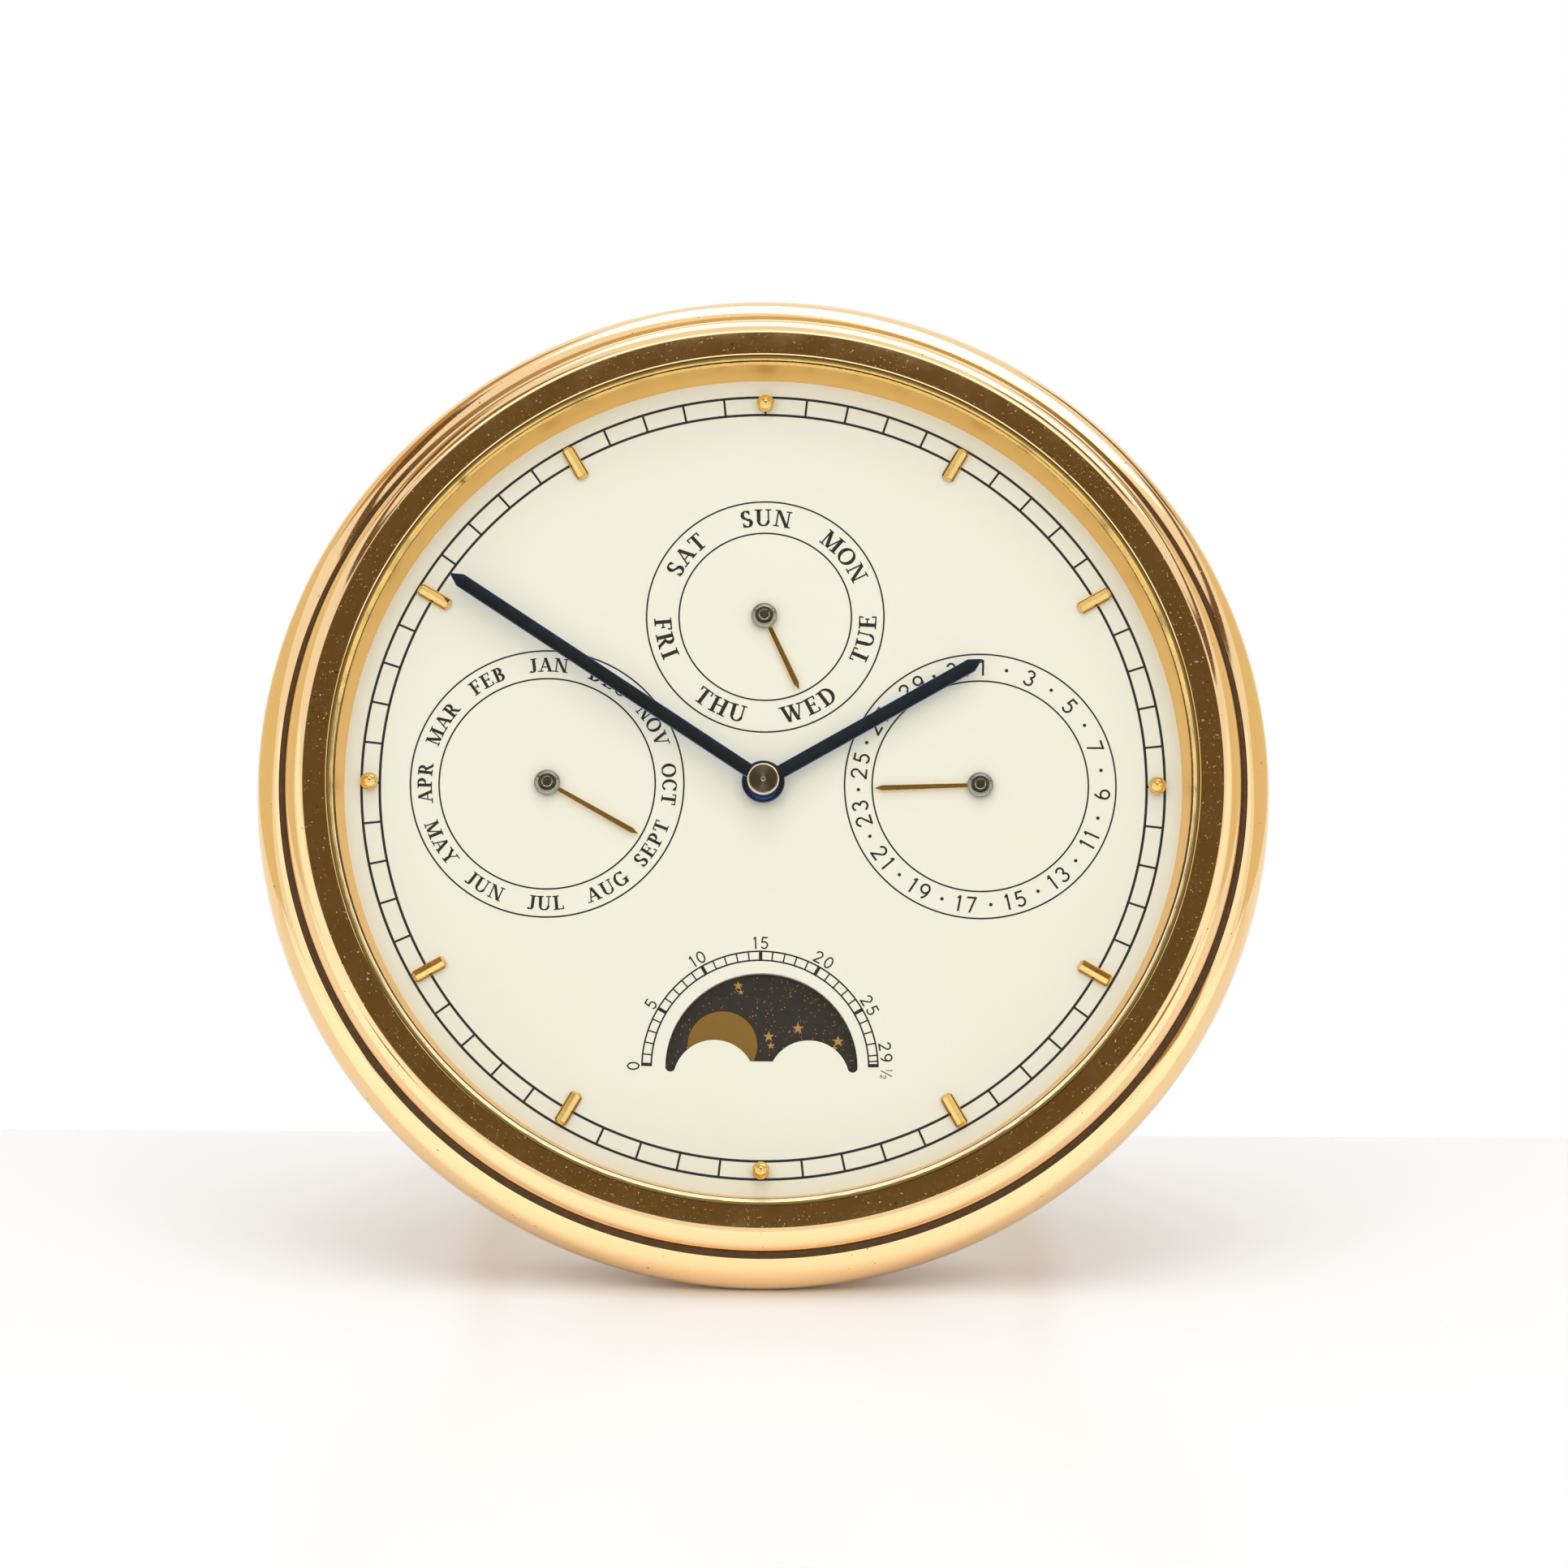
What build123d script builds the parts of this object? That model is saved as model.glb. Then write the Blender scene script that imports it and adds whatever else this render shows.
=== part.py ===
from build123d import *
import math
import os

os.makedirs("parts", exist_ok=True)

# Moon phase desk clock. Sizes are in millimetres.
# Clock frame: X right, Y up the dial, Z out of the dial towards the reader, Z = 0 on the dial's face.
# Row frame: Z up, the clock leans back on its hoop, origin under the middle of its box on the table.

# How the clock stands
lean_angle = 22.2
running_gap = 0.05
rod_sides = 12
stud_sides = 16
fit_gap = 0.03
stop_gap = 0.02
cut_run = 5.0

# Case
case_radius = 50.0
case_bead_radius = 3.8
case_bead_z = -1.8
case_bead_flats_above = 3
case_bead_flats_below = 2
case_lip_drop = 0.6
case_rim_width = 2.9
case_drum_inset = 6.0
case_drum_top_z = -5.6
case_wall = 2.4
cover_outer_z = -15.0
cover_thickness = 1.6
cover_edge_gap = 0.2

# Bezel, glass and the sloping ring round the dial
bezel_bead_width = 1.95
bezel_band_width = 2.23
bezel_top_z = 4.6
bezel_bead_end_z = 2.0
bezel_bead_bulge = 0.62
glass_edge_gap = 0.32
glass_bottom_z = 3.2
glass_thickness = 1.3
rehaut_edge_gap = 0.12
rehaut_top_width = 0.7
rehaut_foot_width = 1.5

# Dial and what is applied to it
dial_edge_gap = 0.42
dial_thickness = 0.6
dial_hole_gap = 0.15
baton_rehaut_gap = 1.8
baton_length = 3.56
baton_width = 1.28
baton_height = 0.7
baton_bevel = 0.35
hour_places = 12
quarter_ball_radius = 0.88
quarter_ball_inset = 2.47
quarter_ball_base = 0.4
quarter_ball_taper = 32.0
quarter_places = 4

# Sub-dial centres, in from the dial's edge, and the moon window about the moon's axis
day_inset = 25.4
month_inset = 21.2
date_inset = 21.1
moon_axis_inset = 13.2
moon_window_radius = 9.42
moon_window_rise = 0.9
moon_hump_radius = 4.0
moon_hump_x = 4.64
moon_hump_drop = 0.4
moon_bridge_rise = 1.46
moon_tip_radius = 0.5

# Hands
minute_hand_gap = 3.8
hour_hand_length = 25.0
hand_width = 1.4
hand_tip_length = 1.3
hand_thickness = 0.25
hour_hand_z = 1.25
hour_collar_radius = 2.13
hour_collar_height = 0.45
minute_hand_z = 1.95
minute_boss_radius = 1.575
minute_boss_height = 0.5
hub_nut_height = 0.55
minute_hand_angle = 303.8
hour_hand_angle = 59.8

# Small hands of the three sub-dials
small_hand_z = 0.35
small_hand_thickness = 0.15
small_hand_root_width = 0.45
small_hand_end_width = 0.58
small_hand_tip_length = 0.8
small_pad_radius = 1.0
day_hand_length = 8.36
month_hand_length = 10.46
date_hand_length = 10.5
day_hand_angle = 155.0
month_hand_angle = 119.7
date_hand_angle = 267.9
small_cap_radius = 1.33
small_cap_rim = 0.15
small_cap_dome = 0.4
small_cap_taper = 50.0

# Calendar plate behind the dial, which hangs from the dial's back on four feet
plate_edge_gap = 3.6
plate_sides = 12
plate_floor_z = -2.6
plate_thickness = 1.2
plate_hole_gap = 0.1
dial_foot_width = 2.0
dial_foot_inset = 6.76
dial_foot_angle = 39.8
post_radius = 0.5
post_top_gap = 0.35

# Star wheels and the toothed moon disc
star_thickness = 0.35
star_arbor_radius = 0.5
star_lift = 0.1
arbor_overrun = 0.3
day_teeth = 7
month_teeth = 12
date_teeth = 31
moon_teeth = 59
day_star_radius = 5.0
month_star_radius = 6.5
date_star_radius = 9.0
moon_disc_radius = 11.0
day_tooth_height = 1.8
month_tooth_height = 1.4
date_tooth_height = 0.9
moon_tooth_height = 0.55
moon_disc_gap = 0.2
moon_disc_thickness = 0.45
moon_post_radius = 0.7

# Jumper springs that hold the four calendar wheels
jumper_width = 0.3
jumper_height = 0.35
jumper_foot = 1.8
jumper_beak_length = 0.9
jumper_reach = 6.5
jumper_clearance = 0.06
day_jumper_angle = 180.0
month_jumper_angle = 90.0
date_jumper_angle = 0.0
moon_jumper_angle = 0.0

# Motion work: cannon pinion, minute wheel, hour wheel, day-and-night wheel
motion_module = 0.3125
cannon_teeth = 8
minute_wheel_teeth = 24
minute_pinion_teeth = 6
hour_wheel_teeth = 24
calendar_wheel_teeth = 48
setting_pinion_teeth = 8
motion_angle = 225.0
setting_angle = 270.0
calendar_angle = 315.0
low_wheel_z = -2.4
low_wheel_thickness = 0.45
mid_wheel_z = -1.8
mid_wheel_thickness = 0.4
cannon_tube_radius = 0.85
hour_tube_wall = 0.4
calendar_finger_reach = 6.2
calendar_finger_width = 0.8
calendar_boss_width = 2.4

# Tooth form, as shares of the module and of the pitch
addendum_share = 0.9
dedendum_share = 1.15
tooth_base_share = 0.72

# Moulded quartz movement, circuit board and battery
movement_depth = 4.2
movement_left_x = -15.2
movement_right_gap = 1.5
movement_left_gap = 1.5
movement_top_y = 6.0
movement_arm_y = -4.5
movement_bottom_gap = 2.0
movement_corner = 6.0
board_thickness = 0.8
board_width = 22.0
board_length = 24.0
quartz_can_radius = 0.75
quartz_can_length = 5.0
quartz_can_inset = 0.5
battery_angle = 315.0
battery_radius = 10.0
battery_height = 3.2
battery_sides = 48
contact_thickness = 0.3
contact_width = 5.0
contact_length = 14.0

# Battery door in the back cover
hatch_radius = 11.2
hatch_lip = 0.9
hatch_edge_width = 8.56
hatch_well_radius = 10.4
hatch_neck_width = 6.0
hatch_bar_length = 23.0
hatch_bar_width = 4.0
hatch_bar_height = 0.5
hatch_notch_gap = 0.4
hatch_turn = 60.0
hatch_slot_length = 13.0
hatch_slot_width = 1.5
hatch_slot_depth = 0.5

# Setting knob
knob_radius = 5.0
knob_height = 2.6
knob_grips = 30
knob_grip_depth = 0.25
knob_arbor_radius = 0.8
knob_lift = 0.3

# Calendar correctors
button_radius = 1.6
button_sink = 0.2
button_flange_width = 4.4
button_flange_height = 0.5
stem_width = 1.4
stem_thickness = 0.5
stem_side_gap = 0.2
stem_star_gap = 0.5

# Hoop stand and its hinge
hoop_inset = 13.0
hoop_bar_width = 4.0
hoop_thickness = 2.2
hoop_corner_radius = 14.0
hoop_leg_slope = 23.945
hoop_foot_flat = 0.4
hinge_y = 22.0
hinge_height = 3.0
hinge_pin_radius = 1.0
hinge_side_gap = 0.1
lug_width = 3.0
lug_length = 8.0
lug_round = 2.2
lug_foot_height = 1.0

# Radii from the case's edge inwards
bezel_outer_radius = case_radius - case_rim_width
bezel_shoulder_radius = bezel_outer_radius - bezel_bead_width
bezel_inner_radius = bezel_shoulder_radius - bezel_band_width
glass_radius = bezel_inner_radius - glass_edge_gap
rehaut_outer_radius = bezel_inner_radius - rehaut_edge_gap
rehaut_foot_radius = rehaut_outer_radius - rehaut_foot_width
dial_radius = bezel_inner_radius - dial_edge_gap
baton_inner_radius = rehaut_foot_radius - baton_rehaut_gap - baton_length
quarter_ball_ring_radius = rehaut_foot_radius - quarter_ball_inset
minute_hand_length = rehaut_foot_radius - minute_hand_gap
case_drum_radius = case_radius - case_drum_inset
case_bore_radius = case_drum_radius - case_wall
cover_radius = case_drum_radius - cover_edge_gap
plate_radius = case_bore_radius - plate_edge_gap
hoop_half_width = case_drum_radius - hoop_inset

# Worked-out places
case_back_z = cover_outer_z + cover_thickness
plate_back_z = plate_floor_z - plate_thickness
movement_back_z = plate_back_z - movement_depth
cannon_low_z = movement_back_z + movement_depth / 2
star_low_z = plate_floor_z + star_lift
star_top_z = star_low_z + star_thickness
glass_top_z = glass_bottom_z + glass_thickness
case_bead_centre = case_radius - case_bead_radius
rest_height = (
    case_bead_centre * math.cos(math.radians(lean_angle))
    - case_bead_z * math.sin(math.radians(lean_angle))
    + case_bead_radius
)
motion_distance = motion_module * (cannon_teeth + minute_wheel_teeth) / 2
setting_distance = motion_module * (setting_pinion_teeth + minute_wheel_teeth) / 2
hour_module = 2 * motion_distance / (hour_wheel_teeth + minute_pinion_teeth)
calendar_distance = hour_module * (hour_wheel_teeth + calendar_wheel_teeth) / 2


def from_centre(distance, angle, centre=(0, 0)):
    """Point at a distance and an angle, counted anticlockwise from X."""
    turn = math.radians(angle)
    return centre[0] + distance * math.cos(turn), centre[1] + distance * math.sin(turn)


motion_centre = from_centre(motion_distance, motion_angle)
setting_centre = from_centre(setting_distance, setting_angle, motion_centre)
calendar_centre = from_centre(calendar_distance, calendar_angle)
day_y = dial_radius - day_inset
month_x = month_inset - dial_radius
date_x = dial_radius - date_inset
moon_axis_y = moon_axis_inset - dial_radius
moon_window_y = moon_axis_y + moon_window_rise
day_centre = (0, day_y)
month_centre = (month_x, 0)
date_centre = (date_x, 0)
moon_centre = (0, moon_axis_y)
battery_distance = cover_radius - hatch_radius - hatch_edge_width
battery_centre = from_centre(battery_distance, battery_angle)
battery_x, battery_y = battery_centre
movement_right_x = battery_x + board_width / 2 + movement_right_gap
movement_step_x = battery_x - board_width / 2 - movement_left_gap
movement_bottom_y = battery_y - board_length / 2 - movement_bottom_gap


def disc(radius, low, high, centre=(0, 0)):
    """Upright cylinder from one height to another."""
    return Pos(centre[0], centre[1], (low + high) / 2) * Cylinder(radius, high - low)


def prism(sides, radius, low, high, centre=(0, 0)):
    """Small round post drawn with flats, its ridges at the radius."""
    post = extrude(RegularPolygon(radius, sides), high - low)
    return Pos(centre[0], centre[1], low) * post


def prism_bore(sides, radius, low, high, centre=(0, 0)):
    """Small round hole drawn with flats, its flats at the radius."""
    return prism(sides, radius / math.cos(math.pi / sides), low, high, centre)


def turned(points):
    """Solid turned about the clock's axis from an outline of radius and height."""
    outline = make_face(Polyline(*[(r, 0, z) for r, z in points], close=True))
    return revolve(outline, Axis.Z)


def toothed(teeth, tip, root, base_share, low, high, phase, centre=(0, 0)):
    """Wheel blank with pointed teeth, one of them at the angle phase."""
    pitch = 360 / teeth
    half = pitch * base_share / 2
    outline = []
    for tooth in range(teeth):
        middle = phase + tooth * pitch
        places = [(tip, middle), (root, middle + half)]
        if base_share < 1:
            places.insert(0, (root, middle - half))
        outline += [from_centre(radius, angle, centre) for radius, angle in places]
    face = make_face(Polyline(*outline, close=True))
    return Pos(0, 0, low) * extrude(face, high - low)


def gear(teeth, module, low, high, phase, centre=(0, 0)):
    """Wheel or pinion of the train, on its pitch circle."""
    pitch_radius = module * teeth / 2
    tip = pitch_radius + module * addendum_share
    root = pitch_radius - module * dedendum_share
    return toothed(teeth, tip, root, tooth_base_share, low, high, phase, centre)


def meshed(phase, teeth, other_teeth, direction):
    """Phase of the other wheel, so that its teeth stand in this wheel's gaps."""
    offset = ((direction - phase) * teeth / 360) % 1
    return direction + 180 - (1 - 2 * offset) * 180 / other_teeth


cannon_phase = motion_angle
minute_wheel_phase = meshed(cannon_phase, cannon_teeth, minute_wheel_teeth, motion_angle)
setting_phase = meshed(minute_wheel_phase, minute_wheel_teeth, setting_pinion_teeth, setting_angle)
minute_pinion_phase = motion_angle + 180
hour_wheel_phase = meshed(
    minute_pinion_phase, minute_pinion_teeth, hour_wheel_teeth, motion_angle + 180
)
calendar_phase = meshed(hour_wheel_phase, hour_wheel_teeth, calendar_wheel_teeth, calendar_angle)


def case_body():
    """Turned drum with the outer bead and one ledge for the dial and the bezel.

    The bead's flats are one lean angle each, so the clock rests on the ridge below its middle.
    """
    seat = bezel_outer_radius + fit_gap
    steps = range(-case_bead_flats_below, case_bead_flats_above + 1)
    centre = (case_bead_centre, case_bead_z)
    bead = [from_centre(case_bead_radius, lean_angle * step, centre) for step in steps]
    return turned(
        [
            *bead,
            (seat, bead[-1][1] - case_lip_drop),
            (seat, -dial_thickness),
            (case_bore_radius, -dial_thickness),
            (case_bore_radius, case_back_z),
            (case_drum_radius, case_back_z),
            (case_drum_radius, case_drum_top_z),
        ]
    )


def bezel():
    """Polished ring that holds the glass: a flat band inside a bead of two flats."""
    corner = (bezel_shoulder_radius, bezel_top_z)
    end = (bezel_outer_radius, bezel_bead_end_z)
    chord = math.dist(corner, end)
    out_r, out_z = (corner[1] - end[1]) / chord, (end[0] - corner[0]) / chord
    crown = (
        (corner[0] + end[0]) / 2 + bezel_bead_bulge * out_r,
        (corner[1] + end[1]) / 2 + bezel_bead_bulge * out_z,
    )
    return turned(
        [
            corner,
            crown,
            end,
            (bezel_outer_radius, -dial_thickness),
            (bezel_inner_radius, -dial_thickness),
            (bezel_inner_radius, bezel_top_z),
        ]
    )


def crystal():
    """Flat glass, seated on the sloping ring inside the bezel."""
    return disc(glass_radius, glass_bottom_z, glass_top_z)


def rehaut_ring():
    """Sloping ring between the dial and the glass."""
    return turned(
        [
            (rehaut_foot_radius, 0),
            (rehaut_outer_radius, 0),
            (rehaut_outer_radius, glass_bottom_z),
            (rehaut_outer_radius - rehaut_top_width, glass_bottom_z),
        ]
    )


def moon_window():
    """Outline of the moon window: an arc over two humps with a short bridge."""
    sky = Pos(0, moon_window_y) * Circle(moon_window_radius)
    span = 2 * moon_window_radius + cut_run
    low_corner = moon_window_y - span / 2
    sky -= Pos(0, low_corner) * Rectangle(span, span)
    for side in (-1, 1):
        tip_x = side * (moon_window_radius - moon_tip_radius)
        sky += Pos(tip_x, moon_window_y) * Circle(moon_tip_radius)
    for side in (-1, 1):
        hump = Pos(side * moon_hump_x, moon_axis_y - moon_hump_drop) * Circle(moon_hump_radius)
        sky -= hump
    bridge = Rectangle(2 * moon_hump_x, 2 * moon_hump_radius)
    sky -= Pos(0, moon_axis_y + moon_bridge_rise - moon_hump_radius) * bridge
    return sky


def dial_plate():
    """Round dial with holes for the arbors and the moon window."""
    face = Circle(dial_radius)
    face -= RegularPolygon(hour_tube_radius + dial_hole_gap, rod_sides)
    for centre in (day_centre, month_centre, date_centre):
        face -= Pos(*centre) * RegularPolygon(star_arbor_radius + dial_hole_gap, rod_sides)
    face -= moon_window()
    return Pos(0, 0, -dial_thickness) * extrude(face, dial_thickness)


def hour_batons():
    """Eight applied hour marks with bevelled long sides."""
    half, top = baton_width / 2, baton_width / 2 - baton_bevel
    side_height = baton_height - baton_bevel
    section = [
        (-half, 0),
        (half, 0),
        (half, side_height),
        (top, baton_height),
        (-top, baton_height),
        (-half, side_height),
    ]
    face = make_face(Polyline(*[(x, baton_inner_radius, z) for x, z in section], close=True))
    baton = extrude(face, baton_length, dir=(0, 1, 0))
    step = 360 / hour_places
    return [Rot(0, 0, step * n) * baton for n in range(hour_places) if n % 3]


def quarter_balls():
    """Four gold beads set on the dial at the quarters."""
    foot = RegularPolygon(quarter_ball_radius, stud_sides)
    bead = extrude(foot, quarter_ball_base)
    crown = extrude(foot, quarter_ball_radius, taper=quarter_ball_taper)
    bead += Pos(0, 0, quarter_ball_base) * crown
    bead = Pos(0, quarter_ball_ring_radius) * bead
    return [Rot(0, 0, 360 / quarter_places * n) * bead for n in range(quarter_places)]


def needle(length, width, end_width, tip_length, low, thickness):
    """Flat hand with a short point, along Y from the clock's axis."""
    outline = [
        (-width / 2, 0),
        (-end_width / 2, length - tip_length),
        (0, length),
        (end_width / 2, length - tip_length),
        (width / 2, 0),
    ]
    face = make_face(Polyline(*[(x, y, low) for x, y in outline], close=True))
    return extrude(face, thickness, dir=(0, 0, 1))


hour_tube_bore = cannon_tube_radius + 2 * running_gap
hour_tube_radius = hour_tube_bore / math.cos(math.pi / rod_sides) + hour_tube_wall
hour_collar_top = hour_hand_z + hand_thickness
minute_boss_z = minute_hand_z - (minute_boss_height - hand_thickness)
cannon_top_z = minute_boss_z + minute_boss_height


def minute_hand():
    """Long blued hand with its round boss."""
    blade = needle(
        minute_hand_length, hand_width, hand_width, hand_tip_length, minute_hand_z, hand_thickness
    )
    boss = disc(minute_boss_radius, minute_boss_z, cannon_top_z)
    grown = cannon_tube_radius + fit_gap
    bore = prism_bore(rod_sides, grown, minute_boss_z - cut_run, cannon_top_z + cut_run)
    return Rot(0, 0, -minute_hand_angle) * (blade + boss) - bore


def hour_hand():
    """Short blued hand on a wide collar."""
    blade = needle(
        hour_hand_length, hand_width, hand_width, hand_tip_length, hour_hand_z, hand_thickness
    )
    collar = disc(hour_collar_radius, hour_collar_top - hour_collar_height, hour_collar_top)
    bore = prism_bore(rod_sides, hour_tube_radius + fit_gap, -cut_run, hour_collar_top + cut_run)
    return Rot(0, 0, -hour_hand_angle) * (blade + collar) - bore


def hub_nut():
    """Turned cap on top of the minute hand."""
    return disc(minute_boss_radius, cannon_top_z, cannon_top_z + hub_nut_height)


def cannon_pinion():
    """Centre staff that carries the minute hand, with the pinion of the motion work."""
    top = low_wheel_z + low_wheel_thickness + running_gap
    leaves = gear(cannon_teeth, motion_module, low_wheel_z, top, cannon_phase)
    return leaves + prism(rod_sides, cannon_tube_radius, cannon_low_z, cannon_top_z)


def hour_wheel():
    """Hour wheel with the tube that carries the hour hand."""
    top = mid_wheel_z + mid_wheel_thickness
    wheel = gear(hour_wheel_teeth, hour_module, mid_wheel_z, top, hour_wheel_phase)
    tube = prism(rod_sides, hour_tube_radius, mid_wheel_z, hour_collar_top)
    bore = prism_bore(rod_sides, hour_tube_bore, mid_wheel_z - cut_run, hour_collar_top + cut_run)
    return wheel + tube - bore


def minute_wheel():
    """Minute wheel and pinion on a post of the calendar plate."""
    low_top = low_wheel_z + low_wheel_thickness
    mid_top = mid_wheel_z + mid_wheel_thickness + running_gap
    wheel = gear(
        minute_wheel_teeth, motion_module, low_wheel_z, low_top, minute_wheel_phase, motion_centre
    )
    pinion = gear(
        minute_pinion_teeth, hour_module, low_top, mid_top, minute_pinion_phase, motion_centre
    )
    grown = post_radius + running_gap
    bore = prism_bore(rod_sides, grown, low_wheel_z - cut_run, mid_top + cut_run, motion_centre)
    return wheel + pinion - bore


def calendar_wheel():
    """Wheel that turns once in 24 hours, with the finger that moves the date."""
    top = mid_wheel_z + mid_wheel_thickness
    wheel = gear(
        calendar_wheel_teeth, hour_module, mid_wheel_z, top, calendar_phase, calendar_centre
    )
    finger = needle(
        calendar_finger_reach,
        calendar_boss_width,
        calendar_finger_width,
        calendar_finger_width,
        star_low_z,
        mid_wheel_z - star_low_z,
    )
    boss = Rectangle(calendar_boss_width, calendar_boss_width)
    finger += Pos(0, 0, star_low_z) * extrude(boss, mid_wheel_z - star_low_z)
    finger = Pos(*calendar_centre) * Rot(0, 0, calendar_angle - 90) * finger
    grown = post_radius + running_gap
    bore = prism_bore(rod_sides, grown, plate_floor_z, top + cut_run, calendar_centre)
    return wheel + finger - bore


def calendar_plate():
    """Twelve-sided plate with feet for the dial, posts for wheels and bores for arbors."""
    plate = Pos(0, 0, plate_back_z) * extrude(
        RegularPolygon(plate_radius, plate_sides), plate_thickness
    )
    foot_height = -dial_thickness - plate_floor_z
    foot = Box(dial_foot_width, dial_foot_width, foot_height)
    for turn in (dial_foot_angle, 180 - dial_foot_angle):
        for side in (0, 180):
            place = from_centre(plate_radius - dial_foot_inset, turn + side)
            plate += Pos(*place, plate_floor_z + foot_height / 2) * foot
    top = -dial_thickness - post_top_gap
    plate += disc(post_radius, plate_floor_z, top, motion_centre)
    plate += disc(post_radius, plate_floor_z, top, calendar_centre)
    plate += disc(moon_post_radius, plate_floor_z, moon_low_z, moon_centre)
    holes = [(cannon_tube_radius, (0, 0)), (knob_arbor_radius, setting_centre)]
    holes += [(star_arbor_radius, c) for c in (day_centre, month_centre, date_centre)]
    for radius, centre in holes:
        grown = radius + plate_hole_gap
        plate -= prism_bore(rod_sides, grown, plate_back_z - cut_run, cut_run, centre)
    for name in corrector_centres:
        plate -= stem_blade(name, plate_back_z - cut_run, cut_run, running_gap)
    return plate


def star_wheel(teeth, tip, tooth_height, jumper_angle, centre):
    """Star wheel on the arbor of a small hand, with a gap of its teeth at its jumper."""
    phase = jumper_angle + 180 / teeth
    star = toothed(teeth, tip, tip - tooth_height, 1, star_low_z, star_top_z, phase, centre)
    low = plate_back_z + arbor_overrun
    return star + prism(rod_sides, star_arbor_radius, low, small_hand_z, centre)


moon_top_z = -dial_thickness - moon_disc_gap
moon_low_z = moon_top_z - moon_disc_thickness


def moon_disc():
    """Painted sky disc with 59 teeth on its rim: it shows two lunations a turn."""
    phase = moon_jumper_angle + 180 / moon_teeth
    root = moon_disc_radius - moon_tooth_height
    return toothed(moon_teeth, moon_disc_radius, root, 1, moon_low_z, moon_top_z, phase, moon_centre)


def small_hand(length, angle, centre):
    """Gilt needle of a sub-dial, with the pad that sits on its arbor."""
    blade = needle(
        length,
        small_hand_root_width,
        small_hand_end_width,
        small_hand_tip_length,
        small_hand_z,
        small_hand_thickness,
    )
    pad = RegularPolygon(small_pad_radius, stud_sides)
    blade += Pos(0, 0, small_hand_z) * extrude(pad, small_hand_thickness)
    return Pos(*centre) * Rot(0, 0, -angle) * blade


def small_cap(centre):
    """Raised steel cap over the root of a small hand."""
    outline = Circle(small_cap_radius)
    cap = extrude(outline, small_cap_rim)
    cap += Pos(0, 0, small_cap_rim) * extrude(outline, small_cap_dome, taper=small_cap_taper)
    return Pos(*centre, small_hand_z + small_hand_thickness) * cap


def jumper(tip, angle, low, centre):
    """Blade spring whose beak stands at the gap between two teeth."""
    back = tip + jumper_beak_length
    half = jumper_beak_length / 2
    point = tip + jumper_clearance
    outline = [
        (0, point),
        (half, back - jumper_width),
        (jumper_reach, back - jumper_width),
        (jumper_reach, back),
        (-half, back),
        (-half, back - jumper_width),
    ]
    blade = Pos(0, 0, low) * extrude(make_face(Polyline(*outline, close=True)), jumper_height)
    foot_height = low + jumper_height - plate_floor_z
    foot = Box(jumper_foot, jumper_foot, foot_height)
    foot_place = Pos(jumper_reach, back + jumper_foot / 3, plate_floor_z + foot_height / 2)
    return Pos(*centre) * Rot(0, 0, angle - 90) * (blade + foot_place * foot)


def jumper_springs():
    """Four jumper springs, one for each calendar wheel."""
    return [
        jumper(day_star_radius, day_jumper_angle, star_low_z, day_centre),
        jumper(month_star_radius, month_jumper_angle, star_low_z, month_centre),
        jumper(date_star_radius, date_jumper_angle, star_low_z, date_centre),
        jumper(moon_disc_radius, moon_jumper_angle, moon_low_z, moon_centre),
    ]


# Each corrector stands just outside its wheel, and its blade is turned towards it
corrector_offset = stem_side_gap + stem_thickness / 2
corrector_centres = {
    "day": (0, day_y + day_star_radius + corrector_offset),
    "date": (date_x, date_star_radius + corrector_offset),
    "month": (month_x, -month_star_radius - corrector_offset),
    "moon": (-moon_disc_radius - corrector_offset, moon_axis_y),
}


def stem_blade(name, low, high, grown):
    """Flat blade of a corrector, or the slot that it slides in."""
    width, thickness = stem_width + 2 * grown, stem_thickness + 2 * grown
    if name == "moon":
        width, thickness = thickness, width
    blade = Box(width, thickness, high - low)
    return Pos(*corrector_centres[name], (low + high) / 2) * blade


def corrector(name):
    """Button in the back with a flange inside the cover and a blade to its wheel."""
    centre = corrector_centres[name]
    wheel_low = moon_low_z if name == "moon" else star_low_z
    flange_top = case_back_z + button_flange_height
    head = prism(stud_sides, button_radius, cover_outer_z + button_sink, case_back_z, centre)
    flange = Box(button_flange_width, button_flange_width, button_flange_height)
    head += Pos(*centre, case_back_z + button_flange_height / 2) * flange
    return head + stem_blade(name, flange_top, wheel_low - stem_star_gap, 0)


def movement_housing():
    """Moulded housing of the quartz movement, an arm round the centre and a wide part."""
    outline = [
        (movement_left_x, movement_top_y),
        (movement_right_x, movement_top_y),
        (movement_right_x, movement_bottom_y + movement_corner),
        (movement_right_x - movement_corner, movement_bottom_y),
        (movement_step_x, movement_bottom_y),
        (movement_step_x, movement_arm_y),
        (movement_left_x, movement_arm_y),
    ]
    housing = extrude(make_face(Polyline(*outline, close=True)), movement_depth)
    housing = Pos(0, 0, movement_back_z) * housing
    grown = cannon_tube_radius + plate_hole_gap
    return housing - prism_bore(rod_sides, grown, cannon_low_z - arbor_overrun, cut_run)


def circuit_board():
    """Board under the battery."""
    board = Box(board_width, board_length, board_thickness)
    return Pos(battery_x, battery_y, movement_back_z - board_thickness / 2) * board


def quartz_can():
    """Metal can of the quartz resonator, lying on the board."""
    x = battery_x - board_width / 2 + quartz_can_inset
    y = battery_y + board_length / 2 - 2 * quartz_can_radius
    can = prism(stud_sides, quartz_can_radius, 0, quartz_can_length)
    return Pos(x, y, movement_back_z - board_thickness - quartz_can_radius) * Rot(0, 90, 0) * can


contact_low_z = movement_back_z - board_thickness - contact_thickness


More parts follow.
